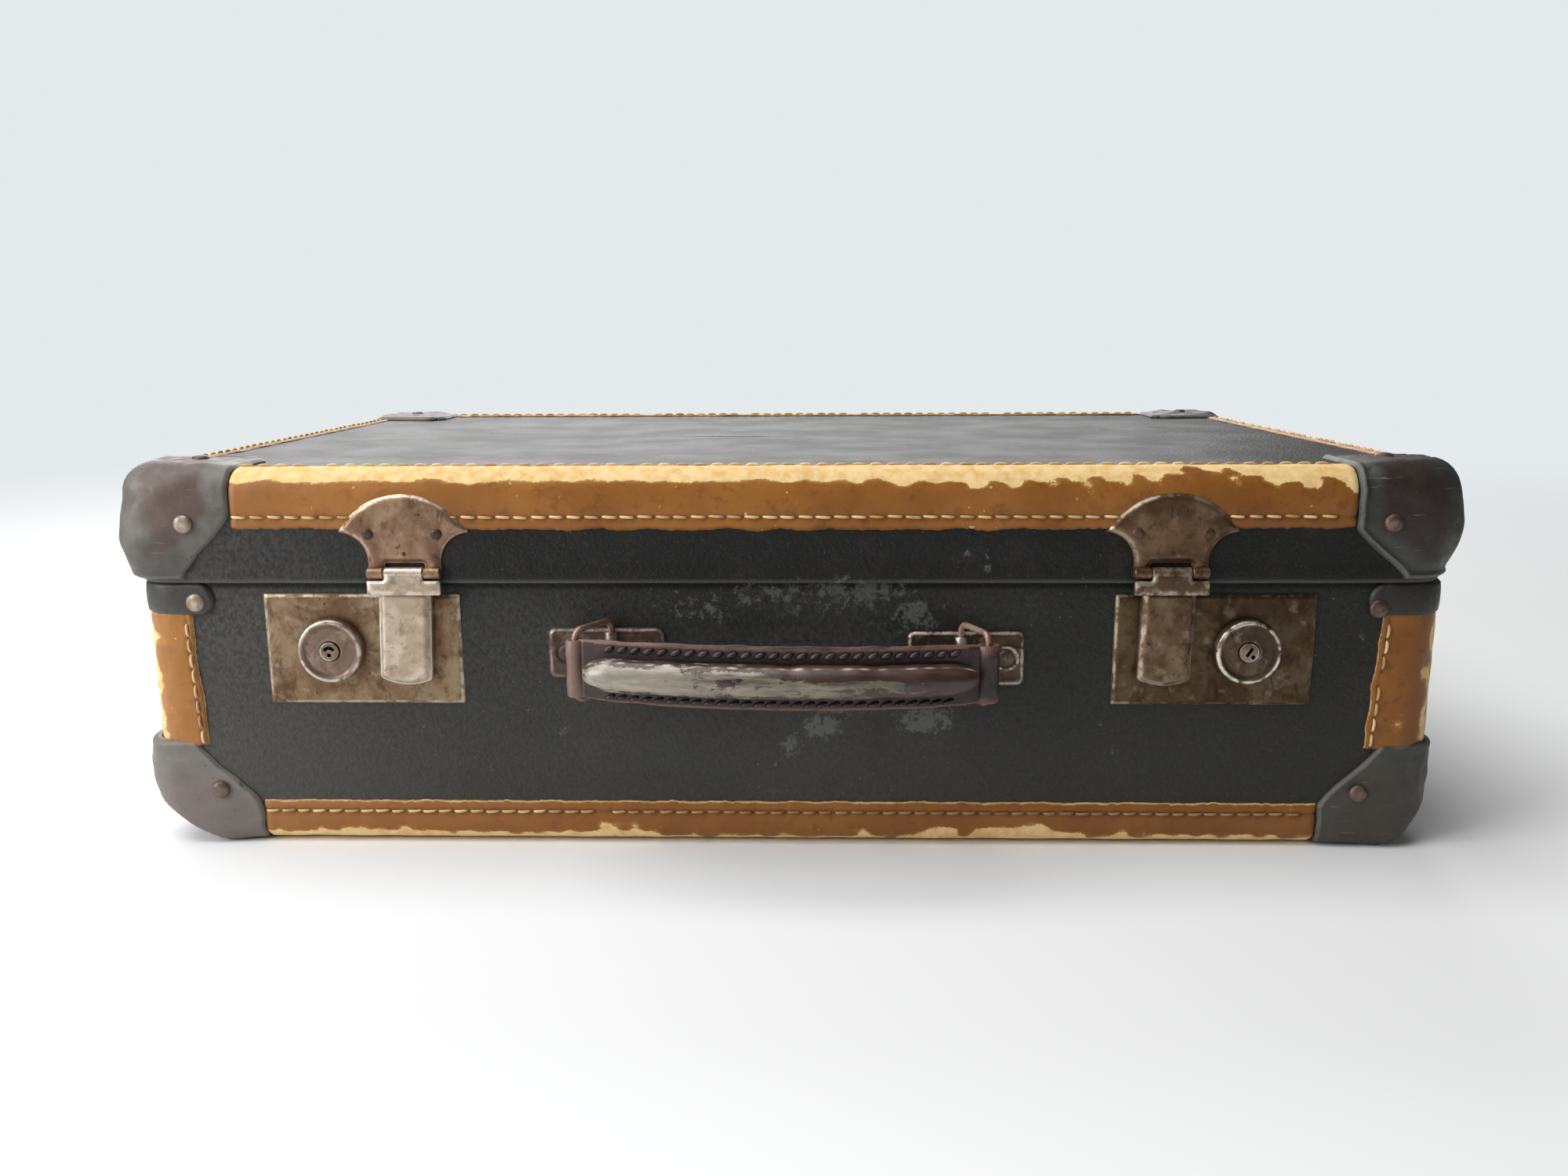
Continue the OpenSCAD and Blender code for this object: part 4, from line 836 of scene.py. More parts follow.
def base_wear(T, Q, q0, at_front):
    """How far the base's bindings are rubbed through: most along the floor."""
    low = 2.0 + 1.4 * smooth((-T - 20) / 120) + 0.7 * wobble(T, 31, 50) + 1.2 * wobble2(T, Q * 1.4, 33, 14)
    if at_front:
        low = low + 5.0 * peak(T, 92, 15) + 2.6 * peak(T, 58, 10) + 2.2 * peak(T, -62, 13)
    w = np.maximum(0.5 + (low - BASE.row(Q)[1]) / 3.8, 0.8 - (Q - q0) / 1.6)
    return np.clip(w, 0.12, 0.9)


for k, side in enumerate(("front", "back", "left", "right")):
    along_x, s = side in ("front", "back"), -1 if side in ("front", "left") else 1
    caps = [CAP_SHAPES[(c, s) if along_x else (s, c)] for c in (-1, 1)]
    size = (LID_W if along_x else LID_D) / 2
    ends = [c * (size - cap[1][0] - 0.5) for c, cap in zip((-1, 1), caps)]
    strip("lid", LID, side, ends, face_h=21.0, pitch=6.5, length=5.3, seed=100 + k, wear_at=lid_wear,
          margins=(4.2, 2.4), sag=0.7 if side == "front" else 0.0)
    size = (BASE_W if along_x else BASE_D) / 2
    ends = [c * (size - cap[2][0] - 0.5) for c, cap in zip((-1, 1), caps)]
    strip("base", BASE, side, ends, face_h=15.2, pitch=6.1, length=5.0, seed=200 + k, wear_at=base_wear,
          margins=(4.1, 2.8))

# corner pieces
EDGE_STEPS = [0, 0.35, 0.8, 1.4, 2.1, 3.0, 4.2]


def corner_grid(box, sx, sy, q, limit, spacing, n_arc=15):
    """Rows of points round a corner: insets and height of each, its turn round the corner, and a function
    that places them at an offset. spacing: distances from the end of each straight part, dense there."""
    P, N = [], []
    a = np.linspace(0, PI / 2, n_arc)
    spacing = np.asarray(spacing, float)
    for d, h, o, c, lim in zip(*box.row(q), limit):
        rho = max(box.r - d, 0.6)
        run = max(lim - d - rho, 0.05)
        s = np.where(spacing < min(4.0, run * 0.4), spacing, spacing / spacing[-1] * run)
        fx = lim - np.maximum.accumulate(s)[:-1]
        m = len(fx)
        pa = np.concatenate([fx, d + rho - rho * np.sin(a), np.full(m, d)])
        pb = np.concatenate([np.full(m, d), d + rho - rho * np.cos(a), fx[::-1]])
        turn = np.concatenate([np.zeros(m), a, np.full(m, PI / 2)])
        P.append(np.stack(np.broadcast_arrays(pa, pb, h), -1))
        N.append(np.stack(np.broadcast_arrays(np.sin(turn) * o, np.cos(turn) * o, c), -1))
    P, N = np.array(P), np.array(N)

    def place(off):
        x = sx * (box.w / 2 - P[..., 0] + N[..., 0] * off)
        y = sy * (box.d / 2 - P[..., 1] + N[..., 1] * off)
        return np.stack([x, y, box.z + box.up * (P[..., 2] - N[..., 2] * off)], -1)

    return P[..., 0], P[..., 1], P[..., 2], np.broadcast_to(turn, P.shape[:2]), place


def cap_reach(h, h_max, reach, start, tip, curl):
    """How far a cap reaches along its wall at a height: upright first, then curving to the tip."""
    u = np.clip((h - start) / (h_max - start), 0, 1.1)
    return reach - (reach - tip) * (curl * smooth(u) + (1 - curl) * 1.08 * u * u / (u + 0.08))


def cap(part, box, sx, sy, h_max, seed, rim_wear, dome, lip, shape, flare):
    """A corner cap. h_max: its height. rim_wear: how pale its border is. dome: how far its middle stands
    out. shape: reach, start, tip, curl. flare: how far, where and how widely its border stands off."""
    q_top = box.edge - h_max
    on_panel = [box.q_panel(x) for x in [*np.arange(box.edge + 2.0, 34.4, 2.0), 35.0, 36.2, 37.4]]
    q = np.concatenate([q_top + np.array(EDGE_STEPS), np.arange(q_top + 5.6, -0.8, 1.5),
                        np.linspace(0, box.turn, 9), on_panel])
    inset, h, _, _ = box.row(q)
    slope = cap_reach(h + 0.5, h_max, *shape) - cap_reach(h - 0.5, h_max, *shape)
    panel = inset > box.edge - 0.01
    limit = np.where(panel, np.minimum(shape[0], CUT_SUM - inset), cap_reach(h, h_max, *shape))
    limit = limit + 0.25 * wobble(q, seed + 7, 16) * (inset < 20)
    spacing = EDGE_STEPS + [6, 8, 10.5, 13, 16, 19, 22, 25.5, 29]
    a, b, H, turn, place = corner_grid(box, sx, sy, q, limit, spacing)
    border = (limit[:, None] - np.maximum(a, b)) / np.sqrt(1 + slope[:, None] ** 2)
    border = np.minimum(np.minimum(border, h_max - H), (CUT_SUM - a - b) / math.sqrt(2))
    border = np.maximum(border, 0)
    off = 0.5 + 1.2 * smooth(border / 1.3 + 0.12)
    off = off + lip * (peak(border, 1.6, 0.8) - 0.5 * peak(border, 3.6, 1.2))
    off = off + dome * smooth(border / 15) + 0.3 * wobble2(a - b, H, seed, 17) * smooth(border / 8)
    off = np.where(panel[:, None], 0.5 + (off - 0.5) * (0.85 if box is LID else 0.55), off)
    lifted = flare[0] * peak(H, *flare[1:]) * smooth(turn / 0.9)
    off = off + lifted * smooth(border / 2 + 0.7)
    verts, faces = slab(place(off), place(0.7 * lifted - 0.5))
    verts = crushed(verts, part)
    verts[:, 2] = np.maximum(verts[:, 2], 0.03)
    fold = peak(turn, PI / 4, 0.55)
    rim = np.maximum(rim_wear * peak(border, 0.9, 1.1), 0.34 * fold * smooth(border / 3))
    if lip > 0.3:
        rim = np.maximum(rim, peak(border, 1.4, 0.7))
    rim = np.maximum(rim, 0.45 * peak(q[:, None], box.edge * 0.8, 3.0))
    soup, cn = Soup("rim", "mid"), corner_name(sx, sy)
    soup.add_skin(verts, faces, rim=rim, mid=smooth(border / 13) * (1 - 0.6 * fold))
    soup.make(f"{part}_cap_skin_{cn}", part, "pressed_fibre", "cap_left" if sx < 0 else "cap_right",
              [f"{part}_cap_{cn}"], 70)


for k, (sx, sy) in enumerate(CORNERS):
    lip, on_lid, on_base = CAP_SHAPES[(sx, sy)]
    cap("lid", LID, sx, sy, LID_CAP_H, seed=300 + k, rim_wear=0.85, dome=1.4, lip=lip, shape=on_lid,
        flare=(3.4, 28, 17) if sx < 0 else (1.4, 23, 12))
    cap("base", BASE, sx, sy, BASE_CAP_H, seed=320 + k, rim_wear=0.8, dome=0.9, lip=0.25 * lip, shape=on_base,
        flare=(3.6, 32, 20) if sx < 0 else (1.8, 42, 16))

# upright bindings over the base's corners: how much wider each is at its top and at its bottom
UPRIGHT_LEAN = {(-1, -1): (-2.0, 0.3), (1, -1): (1.2, 4.6), (-1, 1): (0.5, 1.2), (1, 1): (-0.6, 0.8)}
UP_LOW, UP_HIGH, UP_PITCH = BASE_CAP_H - 1.5, 88.6, 6.0


def widening(h, lean):
    return np.interp((UP_HIGH - h) / (UP_HIGH - UP_LOW), (0, 1), lean)


for k, (sx, sy) in enumerate(CORNERS):
    cn, lean = corner_name(sx, sy), UPRIGHT_LEAN[(sx, sy)]
    heights = np.arange(UP_LOW, UP_HIGH + 0.01, 1.35)
    q = BASE.edge - heights
    limit = 22 + widening(heights, lean) + 0.35 * wobble(q, 400 + k, 30) + 0.2 * wobble(q, 410 + k, 6)
    spacing = [0, 0.35, 0.8, 1.4, 1.9, 2.35, 2.8, 3.4, 4.4, 6.0, 8.0]
    a, b, H, turn, place = corner_grid(BASE, sx, sy, q, limit, spacing, 13)
    along = limit[:, None] - np.maximum(a, b)
    away = np.abs(along - 2.3)
    dent = stitch_holes(H - UP_LOW, UP_PITCH, away)
    thick = 0.25 + 0.85 * smooth(along / 1.3) - 0.22 * peak(away, 0, 0.75) - 0.3 * dent
    thick = thick + 0.12 * wobble2(a - b, H, 420 + k, 15)
    # grime: dirt along the border, painted shade in the stitch holes
    grime = np.maximum(0.65 * (1 - smooth(along / 0.8)), 0.9 * dent)
    ridge = 0.96 + 0.14 * wobble(H, 450 + k, 22)
    wear = (0.6 if sx < 0 else 0.52) * peak(turn, ridge, 0.3) + 0.14 + 0.2 * wobble2(a - b, H, 460 + k, 21)
    soup = Soup("wear", "grime")
    soup.add_skin(*slab(place(thick), place(-0.4)), wear=np.maximum(wear, 0.66 - along / 1.6), grime=grime)
    soup.make("corner_binding_skin_" + cn, "base", "tan_binding", "tan", ["corner_binding_" + cn], 60)
    threads = Soup("tone")
    g = np.random.default_rng(430 + k)
    for on_front in (True, False):
        h = UP_LOW + 0.6
        while h + 5.0 < UP_HIGH:
            ends = np.array([h, h + 5.0])
            inset = 19.7 + widening(ends, lean) + g.normal(0, 0.08)
            ia, ib = (inset, -0.85) if on_front else (-0.85, inset)
            p = np.broadcast_arrays(sx * (BASE_W / 2 - ia), sy * (BASE_D / 2 - ib), BASE_Z + ends)
            n = np.tile([0.0, sy, 0] if on_front else [sx, 0.0, 0], (2, 1))
            if g.random() < 0.97:
                stitch(threads, np.stack(p, -1), n, g.random())
            h += UP_PITCH
    threads.make("corner_stitches_" + cn, "base", "tan_binding", "thread")

# mouth bands, one object for the one CAD node
BAND_END, BAND_HALF = 29, 6.3
BAND_ROWS = [[0, 0.3, 0.7, 1.2, 1.9], np.linspace(2.8, 9.8, 8), [10.7, 11.4, 11.9, 12.3, 12.6]]
bands = Soup("rim", "mid")
for sx, sy in CORNERS:
    hs = np.concatenate(BAND_ROWS) + BAND_Z
    rounded = np.sqrt(np.maximum(BAND_HALF ** 2 - (hs - BAND_Z - BAND_HALF) ** 2, 0))
    limit = BAND_END - BAND_HALF + rounded
    a, b, H, _, place = corner_grid(BASE, sx, sy, BASE.edge - hs, limit, EDGE_STEPS + [6, 8, 10, 12], 13)
    border = np.minimum(limit[:, None] - np.maximum(a, b), np.minimum(H - BAND_Z, BASE_H - H))
    off = 0.5 + 1.1 * smooth(border / 1.5 + 0.1) + 0.35 * smooth(border / 5)
    bands.add_skin(*slab(place(off), place(-0.5)), rim=0.6 * peak(border, 1.1, 1.1),
                   mid=0.6 * smooth(border / 5))
bands.make("mouth_bands_skin", "base", "pressed_fibre", "band", ["mouth_bands"], 70)


# rivets
def put(soup, verts, faces, at, out, edge=0.0):
    """Adds a piece whose +w axis is turned to the direction out."""
    turn = np.array(Vector((0, 0, 1)).rotation_difference(Vector(out).normalized()).to_matrix())
    soup.add(np.asarray(verts) @ turn.T + np.asarray(at, float), faces, edge=edge)


def add_rivet(soup, at, out, r=3.4, h=1.6):
    """A domed rivet with its shank below."""
    v, f = lathe([(0, -1.6), (1.5, -1.6), (1.5, -0.15), (r * 0.94, -0.15), (r, 0.1), (r * 0.95, h * 0.42),
                  (r * 0.82, h * 0.7), (r * 0.62, h * 0.9), (r * 0.36, h), (r * 0.15, h * 1.02),
                  (0, h * 1.02)], 28)
    rubbed = 0.6 * peak(np.hypot(v[:, 0], v[:, 1]), 0, 0.7 * r)
    put(soup, v, f, at, out, np.where(v[:, 2] > 0.3 * h, rubbed, 0.0))


rivets = {(part, tone): Soup("edge") for part in ("base", "lid") for tone in ("rivet", "rivet_dark")}
ON_BASE_CAP, ON_BAND, ON_LID_CAP = 2.5, 1.8, 2.9        # how far out the rivets' feet sit
for sx, sy in CORNERS:
    left, to_x, to_y = sx < 0, (sx, 0, 0), (0, sy, 0)
    # the right-hand band and lid-cap rivets take the darker copy, partly as painted shade
    tone = "rivet" if left else "rivet_dark"
    dark, band, lid = rivets["base", "rivet_dark"], rivets["base", tone], rivets["lid", tone]
    z = BASE_Z + 20.9
    add_rivet(dark, (sx * (217.3 if left else 215.2), sy * (WALL_Y + ON_BASE_CAP), z - 0.8), to_y)
    add_rivet(dark, (sx * (BASE_W / 2 + ON_BASE_CAP), sy * (WALL_Y - 26), z), to_x)
    z = RIM_Z - (7.4 if left else 9.4)
    add_rivet(band, (sx * (220.4 if left else 217.2), sy * (WALL_Y + ON_BAND), z), to_y, 3.5, 1.5)
    add_rivet(band, (sx * (BASE_W / 2 + ON_BAND), sy * (WALL_Y - 22.5), z), to_x, 3.5, 1.5)
    z = LID_TOP - 18.9
    add_rivet(lid, (sx * (220.5 if left else 218.2), sy * (LID_Y + ON_LID_CAP), z), to_y)
    add_rivet(lid, (sx * (LID_W / 2 + ON_LID_CAP + 0.6), sy * (LID_Y - 25), z), to_x)
    top = sx * (LID_W / 2 - 22), sy * (LID_Y - 22), LID_TOP + 2.6
    add_rivet(rivets["lid", "rivet_dark"], top, (0, 0, 1), 3.4, 1.4)
HINGE_X, LEAF_W, LOWER_LEAF, UPPER_LEAF = 150, 44, 24, 15
for x in [s * HINGE_X + step * LEAF_W / 3 for s in (-1, 1) for step in (-1, 0, 1)]:
    add_rivet(rivets["base", "rivet"], (x, WALL_Y + 0.9, HINGE_Z - LOWER_LEAF + 6), (0, 1, 0), 2.3, 0.8)
    add_rivet(rivets["lid", "rivet"], (x, LID_Y + 0.9, HINGE_Z + UPPER_LEAF - 5), (0, 1, 0), 2.3, 0.8)
for (part, tone), soup in rivets.items():
    soup.make(f"{part}_{tone}s_skin", part, "rivet_steel", tone, [part + "_rivets"], 40)


# pressed plates
def inset_loop(loop, d):
    """Moves a counter-clockwise outline inward by d."""
    p = np.asarray(loop, float)
    e = np.roll(p, -1, 0) - p
    e /= np.maximum(np.linalg.norm(e, axis=1, keepdims=True), 1e-9)
    nrm = np.stack([-e[:, 1], e[:, 0]], 1)
    both = nrm + np.roll(nrm, 1, 0)
    both /= np.maximum((both * nrm).sum(1, keepdims=True), 0.35)
    return p + both * d


def border_distance(p, loop):
    """Distance of points to a closed outline."""
    a = np.asarray(loop, float)
    d = np.roll(a, -1, 0) - a
    dd = np.maximum((d * d).sum(1), 1e-12)
    best = np.zeros(len(p))
    for i in range(0, len(p), 4000):
        q = p[i:i + 4000, None, :] - a[None]
        t = np.clip((q * d[None]).sum(-1) / dd, 0, 1)
        best[i:i + 4000] = np.linalg.norm(q - t[..., None] * d[None], axis=-1).min(1)
    return best


def inside(p, loop):
    a = np.asarray(loop, float)
    b = np.roll(a, -1, 0)
    x, y = p[:, 0][:, None], p[:, 1][:, None]
    cross = (a[:, 1] > y) != (b[:, 1] > y)
    with np.errstate(divide="ignore", invalid="ignore"):
        xi = a[:, 0] + (y - a[:, 1]) * (b[:, 0] - a[:, 0]) / (b[:, 1] - a[:, 1])
    return (cross & (x < xi)).sum(1) % 2 == 1


def resample(points, step):
    p = np.asarray(points, float)
    q = np.concatenate([p, p[:1]])
    s = np.concatenate([[0], np.cumsum(np.linalg.norm(np.diff(q, axis=0), axis=1))])
    t = np.linspace(0, s[-1], max(int(s[-1] / step), 12), endpoint=False)
    return np.stack([np.interp(t, s, q[:, 0]), np.interp(t, s, q[:, 1])], 1)


def soften(points, sigma, step=0.6):
    """Resamples an outline and rounds its corners."""
    p = resample(points, step)
    k = int(3 * sigma / step) + 1
    w = np.exp(-0.5 * (np.arange(-k, k + 1) * step / sigma) ** 2)
    w /= w.sum()
    return sum(wi * np.roll(p, i, 0) for i, wi in zip(range(-k, k + 1), w))


def plate(outline, height, back, step=1.2, rings=(0.3, 0.7, 1.2, 1.9)):
    """A solid plate over an outline. height(u, v, distance from the border) gives its face.
    Returns points, faces and each point's distance from the border."""
    outline = np.asarray(outline, float)
    after = np.roll(outline, -1, 0)
    if (outline[:, 0] * after[:, 1] - after[:, 0] * outline[:, 1]).sum() < 0:
        outline = outline[::-1]
    pts = [outline]
    for d in rings:
        p = inset_loop(outline, d)
        p = p[inside(p, outline)]
        p = p[border_distance(p, outline) > 0.93 * d]
        keep = [0]
        for i in range(1, len(p)):
            if np.linalg.norm(p[i] - p[keep[-1]]) > 0.3:
                keep.append(i)
        pts.append(p[keep])
    lo, hi = outline.min(0), outline.max(0)
    gx, gy = np.meshgrid(np.arange(lo[0] + 0.37, hi[0], step), np.arange(lo[1] + 0.41, hi[1], step))
    p = np.stack([gx.ravel(), gy.ravel()], 1)
    p = p[inside(p, outline)]
    pts.append(p[border_distance(p, outline) > rings[-1] + 0.45 * step])
    points = [Vector(q) for q in np.concatenate(pts).tolist()]
    edges = [(i, (i + 1) % len(outline)) for i in range(len(outline))]
    uv, _, tris, *_ = delaunay_2d_cdt(points, edges, [], 1, 1e-5, False)
    uv = np.array([[q[0], q[1]] for q in uv])
    keep = inside(np.array([uv[list(f)].mean(0) for f in tris]), outline)
    tris = [f for f, k in zip(tris, keep) if k]
    used = sorted({i for f in tris for i in f})
    number = {old: new for new, old in enumerate(used)}
    uv, tris, m = uv[used], [[number[i] for i in f] for f in tris], len(used)
    dist = border_distance(uv, outline)
    dist[dist < 1e-3] = 0
    top = np.column_stack([uv, height(uv[:, 0], uv[:, 1], dist)])
    bottom = np.column_stack([uv, np.full(m, back)])
    sides = [(a, b) for f in tris for a, b in zip(f, f[1:] + f[:1])]
    pairs = set(sides)
    faces = tris + [[i + m for i in f][::-1] for f in tris]
    faces += [[b, a, a + m, b + m] for a, b in sides if (b, a) not in pairs]
    return np.concatenate([top, bottom]), faces, np.concatenate([dist, np.full(m, 9.0)])


def bevel(h, w, dent=0.0, seed=1):
    """A face of height h with a bevelled border of width w."""
    def face(u, v, d):
        return h - w * (1 - smooth(d / w)) * 0.62 + dent * wobble2(u, v, seed, 15) * smooth(d / 3)
    return face


def arc_points(cx, cy, r, start, end, count):
    """Points on an arc, from start to end in degrees."""
    return [(cx + r * math.cos(a), cy + r * math.sin(a)) for a in np.radians(np.linspace(start, end, count))]


# lock plates, with the notch for the hasp's catch
for s, cn in LEFT_RIGHT:
    w, h = PLATE_W / 2, PLATE_H / 2
    n0, n1 = s * HASP_X - s * LOCK_X - 4.2, s * HASP_X - s * LOCK_X + 4.2
    out = [(-w, -h), (w, -h), (w, h), (n1, h), (n1, -4.3), (n0, -4.3), (n0, h), (-w, h)]
    v, f, d = plate(soften(out, 0.45), bevel(1.25, 1.5, 0.10, 51 + s), -0.3, 1.6, (0.3, 0.7, 1.15, 1.7, 2.4))
    e = peak(d, 0.75, 0.65) * (1.0 if s < 0 else 0.55 + 0.45 * (v[:, 0] < -30))
    make("lock_plate_skin_" + cn, front(v, s * LOCK_X, WALL_Y, LOCK_Z), f, "base", "lock_steel",
         "plate_" + cn, ["lock_plate_" + cn], 38, edge=e)

# knobs: a dished disc with a raised rim and a bore for the key barrel
KNOB = [(0, -3.4), (2.4, -3.4), (2.4, 0), (11.7, 0), (12.15, 0.35), (12.25, 1.0), (12.25, 2.7), (12.05, 3.5),
        (11.6, 4.0), (11.0, 4.2), (10.4, 4.12), (9.8, 3.8), (9.2, 3.55), (8.2, 3.5), (5.2, 3.62), (4.4, 3.66),
        (3.95, 3.55), (3.81, 3.3), (3.81, 1.0), (0, 1.0)]
for s, cn in LEFT_RIGHT:
    at = s * KNOB_X, KNOB_Y, LOCK_Z
    v, f = lathe(KNOB, 72)
    rad, face = np.hypot(v[:, 0], v[:, 1]), v[:, 2] > 3.0
    e = np.where(face, 0.95 * peak(rad, 11.2, 0.9) + 0.5 * peak(rad, 4.4, 0.5), 0.1)
    # painted shade in the knob's dished face
    dish_shade = (0.45 * peak(rad, 9.4, 1.0) + 0.3 * peak(rad, 5.6, 1.6)) * face
    make("lock_knob_skin_" + cn, front(v, *at), f, "knob_" + cn, "lock_steel", "knob_" + cn,
         ["lock_knob_" + cn], 35, edge=e, grime=dish_shade)
    v, f = lathe([(0, 1.06), (3.72, 1.06), (3.72, 3.95), (3.5, 4.25), (3.0, 4.4), (0, 4.5)], 48)
    e = 0.8 * peak(np.hypot(v[:, 0], v[:, 1]), 3.4, 0.5) * (v[:, 2] > 3.5)
    barrel = make("key_barrel_skin_" + cn, front(v, *at), f, "barrel_" + cn, "lock_steel", "barrel",
                  ["key_barrel_" + cn], 35, edge=e)
    # the keyhole: a curved slot on the left, a straight one on the right, and a dot
    if s < 0:
        turns = np.linspace(math.radians(25), math.radians(155), 15)
        line = np.array([(1.9 * math.cos(t), 1.9 * math.sin(t) - 0.35) for t in turns])
    else:
        t = math.radians(58)
        line = np.array([(1.9 * k * math.cos(t), 1.9 * k * math.sin(t) + 0.3) for k in np.linspace(-1, 1, 9)])
    d = np.gradient(line, axis=0)
    d /= np.linalg.norm(d, axis=1, keepdims=True)
    nrm = np.stack([-d[:, 1], d[:, 0]], 1)
    loop = np.concatenate([line + 0.6 * nrm, (line - 0.6 * nrm)[::-1]])
    n = len(loop)
    slot = np.concatenate([np.column_stack([loop, np.full(n, depth)]) for depth in (3.0, 6.0)])
    walls = [[i, (i + 1) % n, (i + 1) % n + n, i + n] for i in range(n)]
    dot, dot_faces = lathe([(0, 3.0), (0.8, 3.0), (0.8, 6.0), (0, 6.0)], 20)
    dot = dot + ((0.0, -1.2, 0) if s < 0 else (1.35, -1.5, 0))
    cut(barrel, (front(slot, *at), [list(range(n)), list(range(n, 2 * n))[::-1]] + walls),
        (front(dot, *at), dot_faces))


# hasps
def knuckle(soup, s, x0, x1, inner, outer, count, edge):
    """A tube round a hasp pin. inner and outer: how far its two edges are set back."""
    v, f = lathe([(1.06, x0 + inner), (1.9, x0), (2.2, x0 + outer), (2.2, x1 - outer), (1.9, x1),
                  (1.06, x1 - inner)], count)
    f += [[i, (i + 1) % count, (i + 1) % count + 5 * count, i + 5 * count] for i in range(count)]
    soup.add(v[:, ::-1] + (s * HASP_X, -HASP_Y, HASP_Z), f, edge=edge)


corner_a = math.degrees(math.asin(12.7 / 27.3))
FAN = ([(7.4, -0.1), (13.5, -0.1), (13.5, 3.6)] + arc_points(24.5, 4.0, 11, 180, 94, 16)
       + arc_points(0, 2.3, 27.3, corner_a, 180 - corner_a, 60) + arc_points(-24.5, 4.0, 11, 86, 0, 16)
       + [(-13.5, 3.6), (-13.5, -0.1), (-7.4, -0.1), (-7.4, 3.6), (7.4, 3.6)])
NAIL = [(0, -3), (0.9, -3), (0.9, 0), (1.95, 0), (2.1, 0.25), (1.8, 0.6), (1.0, 0.8), (0, 0.85)]
nails = Soup("edge")
for s, cn in LEFT_RIGHT:
    v, f, d = plate(soften(FAN, 0.5), bevel(1.35, 2.4, 0.12, 61 + s), -0.3, 1.3, (0.3, 0.7, 1.2, 1.8, 2.5))
    # pale rubbed border, stronger toward the upper left as a painted highlight
    e = 0.9 * peak(d, 1.1, 0.9) * (0.45 + 0.55 * smooth((v[:, 1] - 0.5 * v[:, 0] - 2) / 20))
    soup = Soup("edge")
    soup.add(front(v, s * HASP_X, FAN_Y, HASP_Z), f, edge=e)
    for x0, x1 in ((-13.5, -7.45), (7.45, 13.5)):
        knuckle(soup, s, x0, x1, inner=0.3, outer=0.35, count=28, edge=0.45)
    soup.make("hasp_plate_skin_" + cn, "lid", "hasp_steel", "fan_" + cn, ["hasp_plate_" + cn], 40)
    for x in (-12.7, 12.7):
        v, f = lathe(NAIL, 24)
        put(nails, v, f, (s * HASP_X + x, -FAN_Y - 1.2, HASP_Z + 14.5), (0, -1, 0))
    v, f = lathe([(0, -1), (0.7, -1), (0.75, 0.25), (0, 0.4)], 14)
    put(nails, v, f, (s * HASP_X + 0.3, -159.8, HASP_Z + 7.2), (0, -1, 0))
nails.make("hasp_nails_skin", "lid", "rivet_steel", "nail", ["hasp_plate_nails"], 40)

# each hasp has a knuckle, the cross piece below it, the pressed tongue and the catch behind
TONGUE_W, TONGUE_DROP, TONGUE_END = 9.7, 2.3, -42.5
for s, cn in LEFT_RIGHT:
    soup = Soup("edge")
    knuckle(soup, s, -7.1, 7.1, inner=0.2, outer=0.3, count=30, edge=0.6)
    out = [(-13.5, -8.0), (13.5, -8.0), (13.5, -2.6), (7.1, -2.6), (7.1, 0.6), (-7.1, 0.6), (-7.1, -2.6),
           (-13.5, -2.6)]
    v, f, d = plate(soften(out, 0.4), bevel(1.4, 1.1), -0.9, 1.2, (0.3, 0.7, 1.15))
    soup.add(front(v, s * HASP_X, 160.9, HASP_Z), f, edge=0.7 * peak(d, 0.7, 0.7) + 0.25 * (d < 5))
    R = (TONGUE_W ** 2 + TONGUE_DROP ** 2) / (2 * TONGUE_DROP)
    top = math.asin(TONGUE_W / R)
    arc = [(R * math.sin(a), TONGUE_END + R - R * math.cos(a)) for a in np.linspace(top, -top, 24)]

    def pressed(u, w, d):
        return 4.4 - 1.92 * (1 - smooth(d / 2.4)) - 0.4 * smooth(d / 6) + 0.1 * wobble2(u, w, 71 + s, 12)

    v, f, d = plate(soften([(TONGUE_W, -6.5)] + arc + [(-TONGUE_W, -6.5)], 0.8), pressed, 0.0, 1.2,
                    (0.3, 0.7, 1.2, 1.8, 2.5, 3.2))
    # pale rubbed border, stronger on the left half as a painted highlight
    e = 0.9 * peak(d, 1.0, 1.1) * (1.0 - 0.35 * (v[:, 0] > 0))
    soup.add(front(v, s * HASP_X, 156.9, HASP_Z, math.radians(-2.4 if s < 0 else -1.2)), f, edge=e)
    x = s * HASP_X
    soup.add(*block(x - 3.5, x + 3.5, -157.6, -154.6, LOCK_Z - 1.5, LOCK_Z + 1.5), edge=0.3)
    soup.make("hasp_skin_" + cn, "hasp_" + cn, "hasp_steel", "hasp_" + cn, ["hasp_" + cn], 40)

